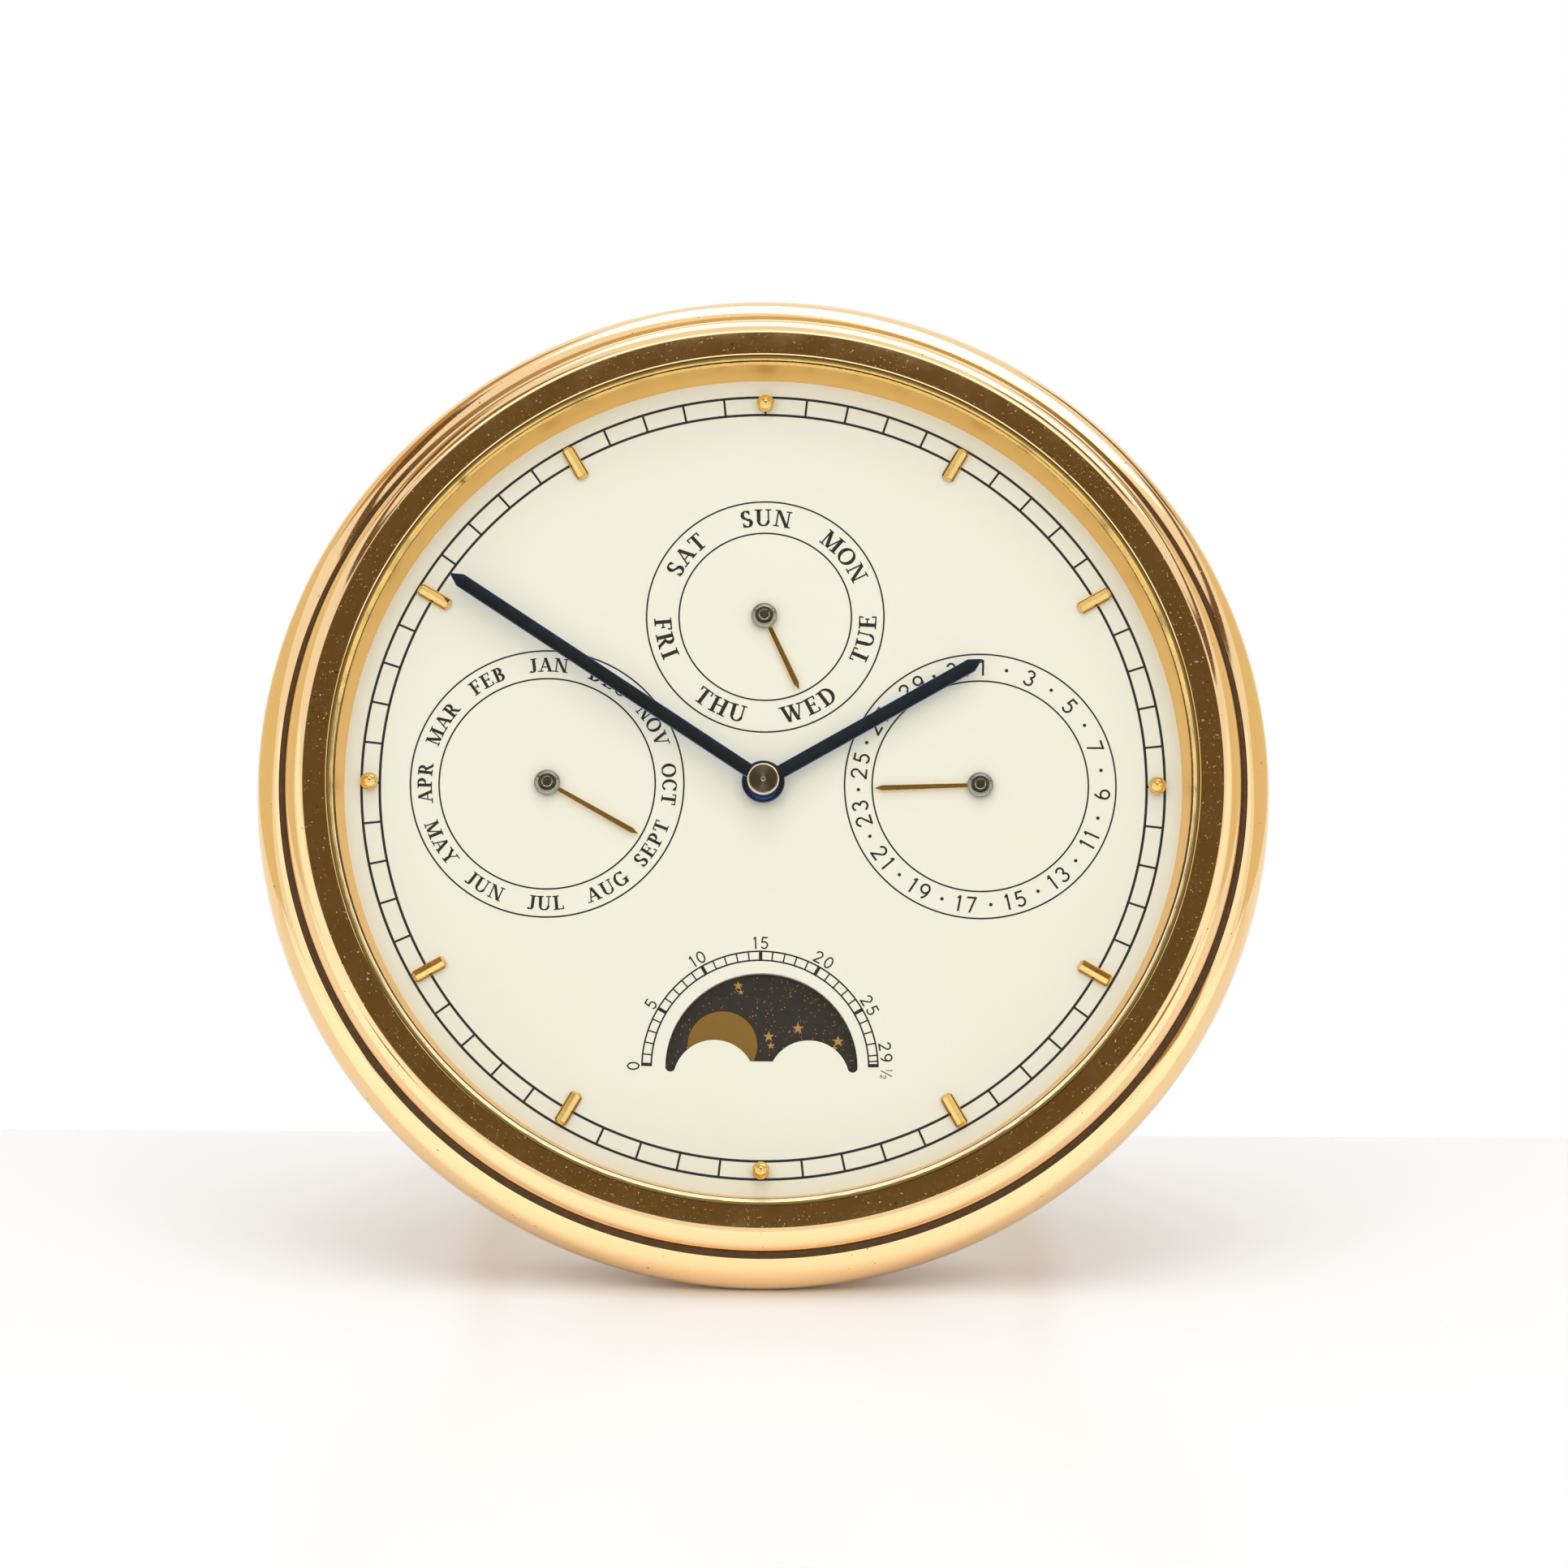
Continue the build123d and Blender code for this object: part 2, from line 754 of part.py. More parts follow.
def battery_contact():
    """Spring strip on the board that the cell presses on."""
    strip = Box(contact_width, contact_length, contact_thickness)
    return Pos(battery_x, battery_y, contact_low_z + contact_thickness / 2) * strip


def battery():
    """Coin cell that lies on its contact."""
    low = contact_low_z - battery_height
    return prism(battery_sides, battery_radius, low, contact_low_z, battery_centre)


def back_cover():
    """Round cover with the battery well, the knob's hole and the corrector holes."""
    low, high = cover_outer_z - cut_run, case_back_z + cut_run
    cover = disc(cover_radius, cover_outer_z, case_back_z)
    cover -= disc(hatch_radius + running_gap, low, cover_outer_z + hatch_lip, battery_centre)
    cover -= disc(hatch_well_radius, low, high, battery_centre)
    notch_length, notch_width = hatch_bar_length + hatch_notch_gap, hatch_bar_width + hatch_notch_gap
    notch = Box(notch_length, notch_width, high - low)
    cover -= Pos(*battery_centre, (low + high) / 2) * Rot(0, 0, hatch_turn) * notch
    cover -= prism_bore(rod_sides, knob_arbor_radius + plate_hole_gap, low, high, setting_centre)
    for centre in corrector_centres.values():
        cover -= prism_bore(stud_sides, button_radius + running_gap, low, high, centre)
    return cover


def battery_hatch():
    """Battery door: a coin-slotted disc, a neck, and a bar that locks under the cover."""
    lip_top = cover_outer_z + hatch_lip
    bar_low = case_back_z + running_gap
    door = disc(hatch_radius, cover_outer_z, lip_top, battery_centre)
    neck = Box(hatch_neck_width, hatch_neck_width, bar_low - lip_top)
    door += Pos(*battery_centre, (lip_top + bar_low) / 2) * neck
    bar = Box(hatch_bar_length, hatch_bar_width, hatch_bar_height)
    door += Pos(*battery_centre, bar_low + hatch_bar_height / 2) * bar
    slot = Box(hatch_slot_length, hatch_slot_width, 2 * hatch_slot_depth)
    return door - Pos(*battery_centre, cover_outer_z) * slot


def setting_knob():
    """Hand-setting knob with a coined edge."""
    high = cover_outer_z - knob_lift
    root = knob_radius - knob_grip_depth
    return toothed(knob_grips, knob_radius, root, 1, high - knob_height, high, 0, setting_centre)


def setting_arbor():
    """Arbor from the knob to the motion work, with the setting pinion at its end."""
    pinion_top = low_wheel_z + low_wheel_thickness
    low = cover_outer_z - knob_lift
    shaft = disc(knob_arbor_radius, low, low_wheel_z, setting_centre)
    return shaft + gear(
        setting_pinion_teeth, motion_module, low_wheel_z, pinion_top, setting_phase, setting_centre
    )


hinge_z = cover_outer_z - hinge_height
hinge_drop = (
    rest_height
    + hinge_y * math.cos(math.radians(lean_angle))
    + hinge_z * math.sin(math.radians(lean_angle))
)
leg_run = hinge_drop + hoop_foot_flat - hoop_thickness / 2 * math.sin(math.radians(hoop_leg_slope))
hoop_leg_length = leg_run / math.cos(math.radians(hoop_leg_slope))
open_angle = lean_angle + hoop_leg_slope
heel_length = (
    hinge_height / math.sin(math.radians(open_angle))
    - hoop_thickness / 2 / math.tan(math.radians(open_angle))
    - stop_gap
)


def stand_hoop():
    """Hoop stand swung open: two legs, a foot bar, and heels that stop on the back cover."""
    outer = Rectangle(2 * hoop_half_width, hoop_leg_length + heel_length)
    outer = Pos(0, (heel_length - hoop_leg_length) / 2) * outer
    low_corners = outer.vertices().group_by(Axis.Y)[0]
    outer = fillet(low_corners, hoop_corner_radius)
    inner_width = 2 * (hoop_half_width - hoop_bar_width)
    inner_length = hoop_leg_length - hoop_bar_width
    inner = Rectangle(inner_width, inner_length + heel_length + cut_run)
    inner = Pos(0, (heel_length + cut_run - inner_length) / 2) * inner
    inner = fillet(inner.vertices().group_by(Axis.Y)[0], hoop_corner_radius - hoop_bar_width)
    hoop = Pos(0, 0, -hoop_thickness / 2) * extrude(outer - inner, hoop_thickness)
    bore = Rot(0, 90, 0) * Cylinder(hinge_pin_radius + running_gap, 2 * hoop_half_width + cut_run)
    hoop -= bore
    hoop = Rot(open_angle, 0, 0) * hoop
    table = -rest_height
    hoop = Pos(0, hinge_y, hinge_z) * hoop
    floor_cut = Box(4 * case_radius, 4 * case_radius, cut_run)
    floor_cut = Pos(0, 0, table - cut_run / 2) * floor_cut
    return hoop - Rot(lean_angle - 90, 0, 0) * floor_cut


def hinge_lug(side):
    """Lug on the back cover beside one leg of the hoop."""
    outer_x = hoop_half_width - hoop_bar_width - hinge_side_gap
    foot = Pos(hinge_y, cover_outer_z - lug_foot_height / 2) * Rectangle(lug_length, lug_foot_height)
    ear = Pos(hinge_y, cover_outer_z - hinge_height / 2) * Rectangle(2 * lug_round, hinge_height)
    profile = foot + ear + Pos(hinge_y, hinge_z) * Circle(lug_round)
    lug = Pos(outer_x - lug_width, 0, 0) * extrude(Plane.YZ * profile, lug_width, dir=(1, 0, 0))
    bore = Rot(0, 90, 0) * Cylinder(hinge_pin_radius + fit_gap, 2 * case_radius)
    lug -= Pos(0, hinge_y, hinge_z) * bore
    return mirror(lug, Plane.YZ) if side < 0 else lug


def hinge_pin(side):
    """Pin through a lug and a leg."""
    inner_x = hoop_half_width - hoop_bar_width - hinge_side_gap - lug_width
    length = hoop_half_width - inner_x
    pin = Pos(inner_x + length / 2, hinge_y, hinge_z) * Rot(0, 90, 0) * Cylinder(hinge_pin_radius, length)
    return mirror(pin, Plane.YZ) if side < 0 else pin


models = {
    "case_body": case_body(),
    "bezel": bezel(),
    "crystal": crystal(),
    "rehaut_ring": rehaut_ring(),
    "dial_plate": dial_plate(),
    "hour_batons": hour_batons(),
    "quarter_balls": quarter_balls(),
    "minute_hand": minute_hand(),
    "hour_hand": hour_hand(),
    "hub_nut": hub_nut(),
    "cannon_pinion": cannon_pinion(),
    "hour_wheel": hour_wheel(),
    "minute_wheel": minute_wheel(),
    "calendar_wheel": calendar_wheel(),
    "calendar_plate": calendar_plate(),
    "jumper_springs": jumper_springs(),
    "day_hand": small_hand(day_hand_length, day_hand_angle, day_centre),
    "month_hand": small_hand(month_hand_length, month_hand_angle, month_centre),
    "date_hand": small_hand(date_hand_length, date_hand_angle, date_centre),
    "day_cap": small_cap(day_centre),
    "month_cap": small_cap(month_centre),
    "date_cap": small_cap(date_centre),
    "day_star": star_wheel(
        day_teeth, day_star_radius, day_tooth_height, day_jumper_angle, day_centre
    ),
    "month_star": star_wheel(
        month_teeth, month_star_radius, month_tooth_height, month_jumper_angle, month_centre
    ),
    "date_star": star_wheel(
        date_teeth, date_star_radius, date_tooth_height, date_jumper_angle, date_centre
    ),
    "moon_disc": moon_disc(),
    "movement_housing": movement_housing(),
    "circuit_board": circuit_board(),
    "quartz_can": quartz_can(),
    "battery_contact": battery_contact(),
    "battery": battery(),
    "back_cover": back_cover(),
    "battery_hatch": battery_hatch(),
    "setting_knob": setting_knob(),
    "setting_arbor": setting_arbor(),
    "day_corrector": corrector("day"),
    "date_corrector": corrector("date"),
    "month_corrector": corrector("month"),
    "moon_corrector": corrector("moon"),
    "stand_hoop": stand_hoop(),
    "hinge_lugs": [hinge_lug(side) for side in (-1, 1)],
    "hinge_pins": [hinge_pin(side) for side in (-1, 1)],
}

# Stand the clock on the table and centre its box over the origin
tilt = Rot(90 - lean_angle, 0, 0)
front_y = min(
    (tilt * models[name]).bounding_box().min.Y for name in ("bezel", "case_body")
)
back_y = (tilt * models["stand_hoop"]).bounding_box().max.Y
stand = Pos(0, -(front_y + back_y) / 2, rest_height) * tilt

for name, model in models.items():
    solids = model if isinstance(model, list) else [model]
    placed = [stand * solid for solid in solids]
    export_step(placed[0] if len(placed) == 1 else Compound(children=placed), f"parts/{name}.step")

print("open angle", round(open_angle, 3), "leg length", round(hoop_leg_length, 3))
print("shift", round(-(front_y + back_y) / 2, 4), "rest height", round(rest_height, 4))
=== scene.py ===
import math
import random

import bpy
from mathutils import Matrix, Vector


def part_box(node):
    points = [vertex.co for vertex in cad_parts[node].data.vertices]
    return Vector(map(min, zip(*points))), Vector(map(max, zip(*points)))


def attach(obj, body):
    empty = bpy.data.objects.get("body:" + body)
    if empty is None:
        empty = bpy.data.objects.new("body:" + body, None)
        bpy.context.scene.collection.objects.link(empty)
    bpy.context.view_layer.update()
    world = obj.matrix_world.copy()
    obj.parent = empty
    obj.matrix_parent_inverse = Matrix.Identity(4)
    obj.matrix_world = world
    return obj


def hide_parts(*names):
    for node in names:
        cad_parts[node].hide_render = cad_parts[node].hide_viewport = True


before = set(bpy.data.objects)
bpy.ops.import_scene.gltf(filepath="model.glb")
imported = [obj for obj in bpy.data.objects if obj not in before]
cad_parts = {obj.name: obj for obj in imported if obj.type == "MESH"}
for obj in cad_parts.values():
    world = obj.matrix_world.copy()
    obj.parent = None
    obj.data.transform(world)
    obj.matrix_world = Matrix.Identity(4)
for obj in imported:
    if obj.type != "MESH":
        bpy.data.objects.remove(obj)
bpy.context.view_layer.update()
bpy.ops.object.select_all(action="DESELECT")

# How the clock stands: it leans back 22.2 degrees on its hoop. Pieces are made lying flat with the
# dial's centre at the origin and the dial facing up, in millimetres, and are then moved to the
# leaning dial.
MM = 0.001
LEAN = math.radians(22.2)
DIAL_THICKNESS = 0.6 * MM
dial_low, dial_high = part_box("dial_plate")
dial_out = Vector((0, -math.cos(LEAN), math.sin(LEAN)))
dial_centre = (dial_low + dial_high) / 2 + dial_out * DIAL_THICKNESS / 2
clock_place = Matrix.Translation(dial_centre) @ Matrix.Rotation(math.pi / 2 - LEAN, 4, "X")


def at(x, y, z=0.0):
    """Place on the leaning clock for a point given in millimetres on the dial."""
    return clock_place @ Matrix.Translation(Vector((x, y, z)) * MM)


# Case: a brass drum with a full round bead at its rim, turned in one piece, polished on a wheel and
# gold plated. The bead mirrors the room in soft bands; years of handling left fine pits and scuffs.
def edit(piece):
    """Opens one piece in edit mode, all of it selected and nothing else."""
    bpy.ops.object.select_all(action="DESELECT")
    bpy.context.view_layer.objects.active = piece
    piece.select_set(True)
    bpy.ops.object.mode_set(mode="EDIT")
    bpy.ops.mesh.select_all(action="SELECT")


def arc(centre, across, up, start, end, steps):
    """Points along a round or oval bend of the turning outline, angles in degrees."""
    turns = [math.radians(start + (end - start) * n / steps) for n in range(steps + 1)]
    return [(centre[0] + across * math.cos(t), centre[1] + up * math.sin(t)) for t in turns]


def turned(name, outline, steps, closed=True, smooth=20):
    """Turns an outline of radius and height in millimetres once round the clock's axis."""
    points = [Vector((r, 0, z)) * MM for r, z in outline]
    bpy.ops.mesh.primitive_circle_add(vertices=3, radius=MM)
    piece = bpy.context.object
    piece.name = name
    edit(piece)
    bpy.ops.mesh.merge(type="CENTER")
    bpy.ops.transform.translate(value=points[0])
    route = points[1:] + ([points[0]] if closed else [])
    for here, there in zip(points, route):
        bpy.ops.mesh.extrude_region_move(TRANSFORM_OT_translate={"value": there - here})
    bpy.ops.mesh.select_all(action="SELECT")
    bpy.ops.mesh.spin(steps=steps, angle=2 * math.pi, center=(0, 0, 0), axis=(0, 0, 1))
    bpy.ops.mesh.select_all(action="SELECT")
    bpy.ops.mesh.remove_doubles(threshold=0.002 * MM)
    bpy.ops.mesh.normals_make_consistent(inside=False)
    bpy.ops.object.mode_set(mode="OBJECT")
    bpy.ops.object.shade_smooth_by_angle(angle=math.radians(smooth))
    return piece


def finish(piece, body, material, place=clock_place):
    """Moves a finished piece to its place on the clock, and gives it its finish and its body."""
    piece.data.transform(place @ piece.matrix_world)
    piece.matrix_world = Matrix.Identity(4)
    piece.data.materials.clear()
    piece.data.materials.append(material)
    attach(piece, body)
    return piece


def colour(hex_value):
    """Linear colour of an sRGB hex value."""
    parts = [int(hex_value[i:i + 2], 16) / 255 for i in (1, 3, 5)]
    return (*[c / 12.92 if c <= 0.04045 else ((c + 0.055) / 1.055) ** 2.4 for c in parts], 1)


def node(owner, kind, links=(), **settings):
    """Adds one node with its settings and its input links."""
    made = owner.node_tree.nodes.new(kind)
    for key, value in settings.items():
        if hasattr(made, key):
            setattr(made, key, value)
        else:
            made.inputs[key.replace("_", " ")].default_value = value
    for socket, source in links:
        owner.node_tree.links.new(source, made.inputs[socket])
    return made


def finish_named(name, base, metallic=0.0, roughness=0.5, **more):
    """Starts a finish: its Principled shader with the plain values set."""
    made = bpy.data.materials.new(name)
    made.use_nodes = True
    shader = made.node_tree.nodes["Principled BSDF"]
    for key, value in {"Base Color": colour(base), "Metallic": metallic,
                       "Roughness": roughness}.items():
        shader.inputs[key].default_value = value
    for key, value in more.items():
        shader.inputs[key.replace("_", " ")].default_value = value
    return made, shader, node(made, "ShaderNodeTexCoord").outputs["Object"]


def join(made, source, shader, socket):
    """Feeds one socket of a finish's shader."""
    made.node_tree.links.new(source, shader.inputs[socket])


def gold_plate(name, base, roughness, scuff, pit):
    """Gold plate: cloudy scuffs about 3 mm across in the gloss, pits of a quarter of a millimetre,
    and a few specks of tarnish twice that size."""
    gold, shader, here = finish_named(name, base, metallic=1.0, roughness=roughness)
    cloud = node(gold, "ShaderNodeTexNoise", [("Vector", here)],
                 Scale=0.35 / MM, Detail=5.0, Roughness=0.65)
    gloss = node(gold, "ShaderNodeMapRange", [("Value", cloud.outputs["Fac"])],
                 From_Min=0.4, From_Max=0.7, To_Min=roughness, To_Max=roughness + scuff)
    join(gold, gloss.outputs[0], shader, "Roughness")
    spots = node(gold, "ShaderNodeTexNoise", [("Vector", here)],
                 Scale=1.7 / MM, Detail=2.0, Roughness=0.7)
    tarnish = node(gold, "ShaderNodeMapRange", [("Value", spots.outputs["Fac"])],
                   From_Min=0.71, From_Max=0.77)
    tint = node(gold, "ShaderNodeMix", [("Factor", tarnish.outputs[0])], data_type="RGBA")
    tint.inputs[6].default_value, tint.inputs[7].default_value = colour(base), colour("#6B4519")
    join(gold, tint.outputs[2], shader, "Base Color")
    grit = node(gold, "ShaderNodeTexNoise", [("Vector", here)],
                Scale=3.6 / MM, Detail=3.0, Roughness=0.8)
    pits = node(gold, "ShaderNodeMapRange", [("Value", grit.outputs["Fac"])],
                From_Min=0.66, From_Max=0.76)
    bump = node(gold, "ShaderNodeBump", [("Height", pits.outputs[0])],
                Strength=pit, Distance=0.04 * MM)
    join(gold, bump.outputs["Normal"], shader, "Normal")
    return gold


polished_gold = gold_plate("polished_gold_plated_brass", "#F5D29E", 0.06, 0.05, 0.2)

CASE_BEAD_RADIUS = 3.8
CASE_BEAD_CENTRE = (46.2, -1.8)
CASE_BEAD_START, CASE_BEAD_END = -44.4, 66.6
GROOVE_TOP, GROOVE_FOOT = (47.3, 1.36), (47.13, 1.1)
SEAT_Z = -0.6
CASE_INSIDE, CASE_OUTSIDE = 41.6, 44.0
CASE_BACK_Z, DRUM_TOP_Z = -13.4, -5.2
EDGE = 0.3
case_shell = turned("case_shell", [
    *arc(CASE_BEAD_CENTRE, CASE_BEAD_RADIUS, CASE_BEAD_RADIUS, CASE_BEAD_START, CASE_BEAD_END, 28),
    GROOVE_TOP,
    GROOVE_FOOT,
    (GROOVE_FOOT[0], SEAT_Z),
    (CASE_INSIDE, SEAT_Z),
    (CASE_INSIDE, CASE_BACK_Z),
    (CASE_OUTSIDE - EDGE, CASE_BACK_Z),
    (CASE_OUTSIDE, CASE_BACK_Z + EDGE),
    (CASE_OUTSIDE, DRUM_TOP_Z),
], 288)
finish(case_shell, "case", polished_gold)
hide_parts("case_body")


# Back cover: a turned brass disc pressed into the drum, gold plated over the turning marks, so
# that it is satin with a fan of light, with the battery door, the setting knob and the four
# calendar buttons in it.
def eased(name, width, steps=3):
    """Copy of a solid piece with its sharp edges rounded over by a width in millimetres."""
    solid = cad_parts[name]
    piece = bpy.data.objects.new(name + "_eased", solid.data.copy())
    bpy.context.collection.objects.link(piece)
    edit(piece)
    bpy.ops.mesh.remove_doubles(threshold=0.001 * MM)
    bpy.ops.mesh.dissolve_limited(angle_limit=math.radians(1))
    bpy.ops.object.mode_set(mode="OBJECT")
    rounding = piece.modifiers.new("rounding", "BEVEL")
    rounding.width = width * MM
    rounding.segments = steps
    rounding.limit_method = "ANGLE"
    rounding.angle_limit = math.radians(30)
    rounding.use_clamp_overlap = False
    bpy.ops.object.modifier_apply(modifier="rounding")
    bpy.ops.object.shade_smooth_by_angle(angle=math.radians(40))
    piece.modifiers.new("flats_stay_flat", "WEIGHTED_NORMAL").keep_sharp = True
    bpy.ops.object.modifier_apply(modifier="flats_stay_flat")
    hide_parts(name)
    return piece


IN_PLACE = Matrix.Identity(4)


def turning_marks(made, shader, here, pitch, depth):
    """Rings round the clock's axis, as a lathe tool leaves them, pitch in millimetres. Real ones
    lie about a tenth of a millimetre apart; these are as coarse as they need to be to show."""
    about = node(made, "ShaderNodeMapping", [("Vector", here)], vector_type="TEXTURE",
                 Location=dial_centre, Rotation=(math.pi / 2 - LEAN, 0, 0))
    rings = node(made, "ShaderNodeTexWave", [("Vector", about.outputs[0])], wave_type="RINGS",
                 rings_direction="Z", Scale=math.pi / (10 * pitch * MM), Distortion=1.5, Detail=2.0)
    bump = node(made, "ShaderNodeBump", [("Height", rings.outputs["Fac"])],
                Strength=depth, Distance=0.03 * MM)
    join(made, bump.outputs["Normal"], shader, "Normal")


satin_gold, satin_shader, satin_here = finish_named(
    "turned_gold_plated_brass", "#EBCA8A", 1.0, 0.26)
turning_marks(satin_gold, satin_shader, satin_here, 0.35, 0.9)
finish(eased("back_cover", 0.25), "case", satin_gold, IN_PLACE)
finish(eased("battery_hatch", 0.12), "hatch", satin_gold, IN_PLACE)
finish(eased("setting_knob", 0.12), "setting", polished_gold, IN_PLACE)


# Four slotted screws hold the cover to the drum: turned and polished steel heads with a sawn slot,
# bright with a faint haze
def grained(name, base, metallic, grains, detail, smooth, rough, start=0.0, stop=1.0, **more):
    """Finish whose gloss changes with a fine grain, in grains per millimetre: from smooth to rough
    where the grain rises from start to stop."""
    made, shader, here = finish_named(name, base, metallic, smooth, **more)
    grain = node(made, "ShaderNodeTexNoise", [("Vector", here)], Scale=grains / MM, Detail=detail)
    gloss = node(made, "ShaderNodeMapRange", [("Value", grain.outputs["Fac"])],
                 From_Min=start, From_Max=stop, To_Min=smooth, To_Max=rough)
    join(made, gloss.outputs[0], shader, "Roughness")
    return made


steel = grained("polished_steel", "#C4C1BA", 1.0, 2.5, 4.0, 0.06, 0.24)
COVER_Z = -15.0
SCREW_RING = 40.0
SCREW_RADIUS = 1.1
SCREW_HEIGHT = 0.35
SCREW_SUNK = 0.2
SLOT_WIDTH = 0.3
SLOT_FLOOR = 0.12
for number, turn in enumerate((0, 90, 180, 270)):
    screw = turned(f"cover_screw_{number}", [
        (0, COVER_Z + SCREW_SUNK),
        (SCREW_RADIUS, COVER_Z + SCREW_SUNK),
        (SCREW_RADIUS, COVER_Z - SCREW_HEIGHT * 0.6),
        (SCREW_RADIUS * 0.9, COVER_Z - SCREW_HEIGHT),
        (0, COVER_Z - SCREW_HEIGHT),
    ], 32, closed=False)
    edit(screw)
    for side in (-1, 1):
        bpy.ops.mesh.select_all(action="SELECT")
        bpy.ops.mesh.bisect(plane_co=(0, side * SLOT_WIDTH / 2 * MM, 0), plane_no=(0, 1, 0))
    bpy.ops.object.mode_set(mode="OBJECT")
    for vertex in screw.data.vertices:
        if abs(vertex.co.y) < (SLOT_WIDTH / 2 + 0.001) * MM and vertex.co.z < (COVER_Z - 0.1) * MM:
            vertex.co.z = max(vertex.co.z, (COVER_Z - SLOT_FLOOR) * MM)
    place = (Matrix.Rotation(math.radians(turn), 4, "Z")
             @ Matrix.Translation((SCREW_RING * MM, 0, 0)))
    slot_turn = Matrix.Rotation(turn, 4, "Z")  # each slot has stopped at an angle of its own
    finish(screw, "case", steel, clock_place @ place @ slot_turn)

# Calendar buttons: steel pushers, each set a little below the cover, pressed to move one display
for name in ("day", "date", "month", "moon"):
    finish(eased(name + "_corrector", 0.12), name + "_button", steel, IN_PLACE)

# Hoop stand: flat brass bar bent to a wide U, polished, plated and hung on two lugs. It folds flat
# against the cover and stops on its heels when it is swung out.
finish(eased("stand_hoop", 0.45, 4), "hoop", polished_gold, IN_PLACE)
finish(eased("hinge_lugs", 0.2), "case", polished_gold, IN_PLACE)
finish(eased("hinge_pins", 0.12), "case", steel, IN_PLACE)


# Quartz movement: a dark moulded housing, matt and finely grained, with its green circuit board,
# resonator, cell and contact in bright nickel plate. All of it is closed in, so the solids keep
# their shapes and only take their finishes.
def keep(material, *names):
    """Gives a finish to solid pieces that stay as they are."""
    for name in names:
        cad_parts[name].data.materials.clear()
        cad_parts[name].data.materials.append(material)


def fine_bumps(made, shader, here, grains, detail, strength, height):
    """Bumps of a grain given in grains per millimetre, their height in millimetres."""
    grain = node(made, "ShaderNodeTexNoise", [("Vector", here)], Scale=grains / MM, Detail=detail)
    bump = node(made, "ShaderNodeBump", [("Height", grain.outputs["Fac"])],
                Strength=strength, Distance=height * MM)
    join(made, bump.outputs["Normal"], shader, "Normal")


moulded, moulded_shader, moulded_here = finish_named(
    "moulded_glass_filled_nylon", "#2B2B2E", roughness=0.45)
fine_bumps(moulded, moulded_shader, moulded_here, 2.2, 3.0, 0.3, 0.03)
keep(moulded, "movement_housing")

board_resin, board_shader, board_here = finish_named(
    "green_solder_resist", "#1D5A33", roughness=0.35)
tracks = node(board_resin, "ShaderNodeTexBrick", [("Vector", board_here)], Scale=0.42 / MM,
              Color1=colour("#1D5A33"), Color2=colour("#22683B"), Mortar=colour("#3F8A52"))
join(board_resin, tracks.outputs["Color"], board_shader, "Base Color")
keep(board_resin, "circuit_board")

bright_steel = grained("nickel_plated_steel", "#CFCDC6", 1.0, 1.4, 4.0, 0.14, 0.34)
keep(bright_steel, "quartz_can", "battery_contact", "battery", "jumper_springs")

# Wheels, arbors and the calendar plate: brass blanks with cut teeth, left as the cutter leaves them
cut_brass = grained("cut_brass", "#DDBB74", 1.0, 1.8, 5.0, 0.2, 0.42)
keep(cut_brass, "cannon_pinion", "hour_wheel", "minute_wheel", "calendar_wheel", "calendar_plate",
     "day_star", "month_star", "date_star", "setting_arbor")


# Moon disc: a toothed disc in very dark brown lacquer, printed with two gilt moons, gilt stars and
# gilt dust. It turns behind the window of the dial, so only its upper part is ever seen.
def clouded(made, here, clouds, detail, one, other):
    """Colour that drifts between two hex values, in clouds per millimetre."""
    cloud = node(made, "ShaderNodeTexNoise", [("Vector", here)], Scale=clouds / MM, Detail=detail)
    mix = node(made, "ShaderNodeMix", [("Factor", cloud.outputs["Fac"])], data_type="RGBA")
    mix.inputs[6].default_value, mix.inputs[7].default_value = colour(one), colour(other)
    return mix.outputs[2]


sky_lacquer, sky_shader, sky_here = finish_named("dark_sky_lacquer", "#1C1514", roughness=0.5)
join(sky_lacquer, clouded(sky_lacquer, sky_here, 0.26, 4.0, "#171110", "#241C1A"),
     sky_shader, "Base Color")
keep(sky_lacquer, "moon_disc")
# The gilt inks are flat bronze powder in varnish, a little uneven
moon_gilt = grained("gilt_moon_ink", "#96702F", 0.6, 2.6, 2.0, 0.38, 0.62)
star_gilt = grained("gilt_star_ink", "#C99A4E", 0.6, 2.6, 2.0, 0.38, 0.62)


def flat_print(name, outlines, body, material, place):
    """One thin print from many flat outlines in millimetres, all facing the reader."""
    points, faces = [], []
    for outline in outlines:
        twice = sum(a[0] * b[1] - b[0] * a[1] for a, b in zip(outline, outline[1:] + outline[:1]))
        if twice < 0:
            outline = outline[::-1]
        first = len(points)
        points += [(x * MM, y * MM, 0) for x, y in outline]
        faces.append(tuple(range(first, first + len(outline))))
    data = bpy.data.meshes.new(name)
    data.from_pydata(points, [], faces)
    piece = bpy.data.objects.new(name, data)
    bpy.context.collection.objects.link(piece)
    return finish(piece, body, material, place)


def polygon(x, y, radii, turn=0.0):
    """Closed outline round a point, its corners at the radii given in turn."""
    step = 2 * math.pi / len(radii)
    return [(x + r * math.cos(turn + step * n), y + r * math.sin(turn + step * n))
            for n, r in enumerate(radii)]


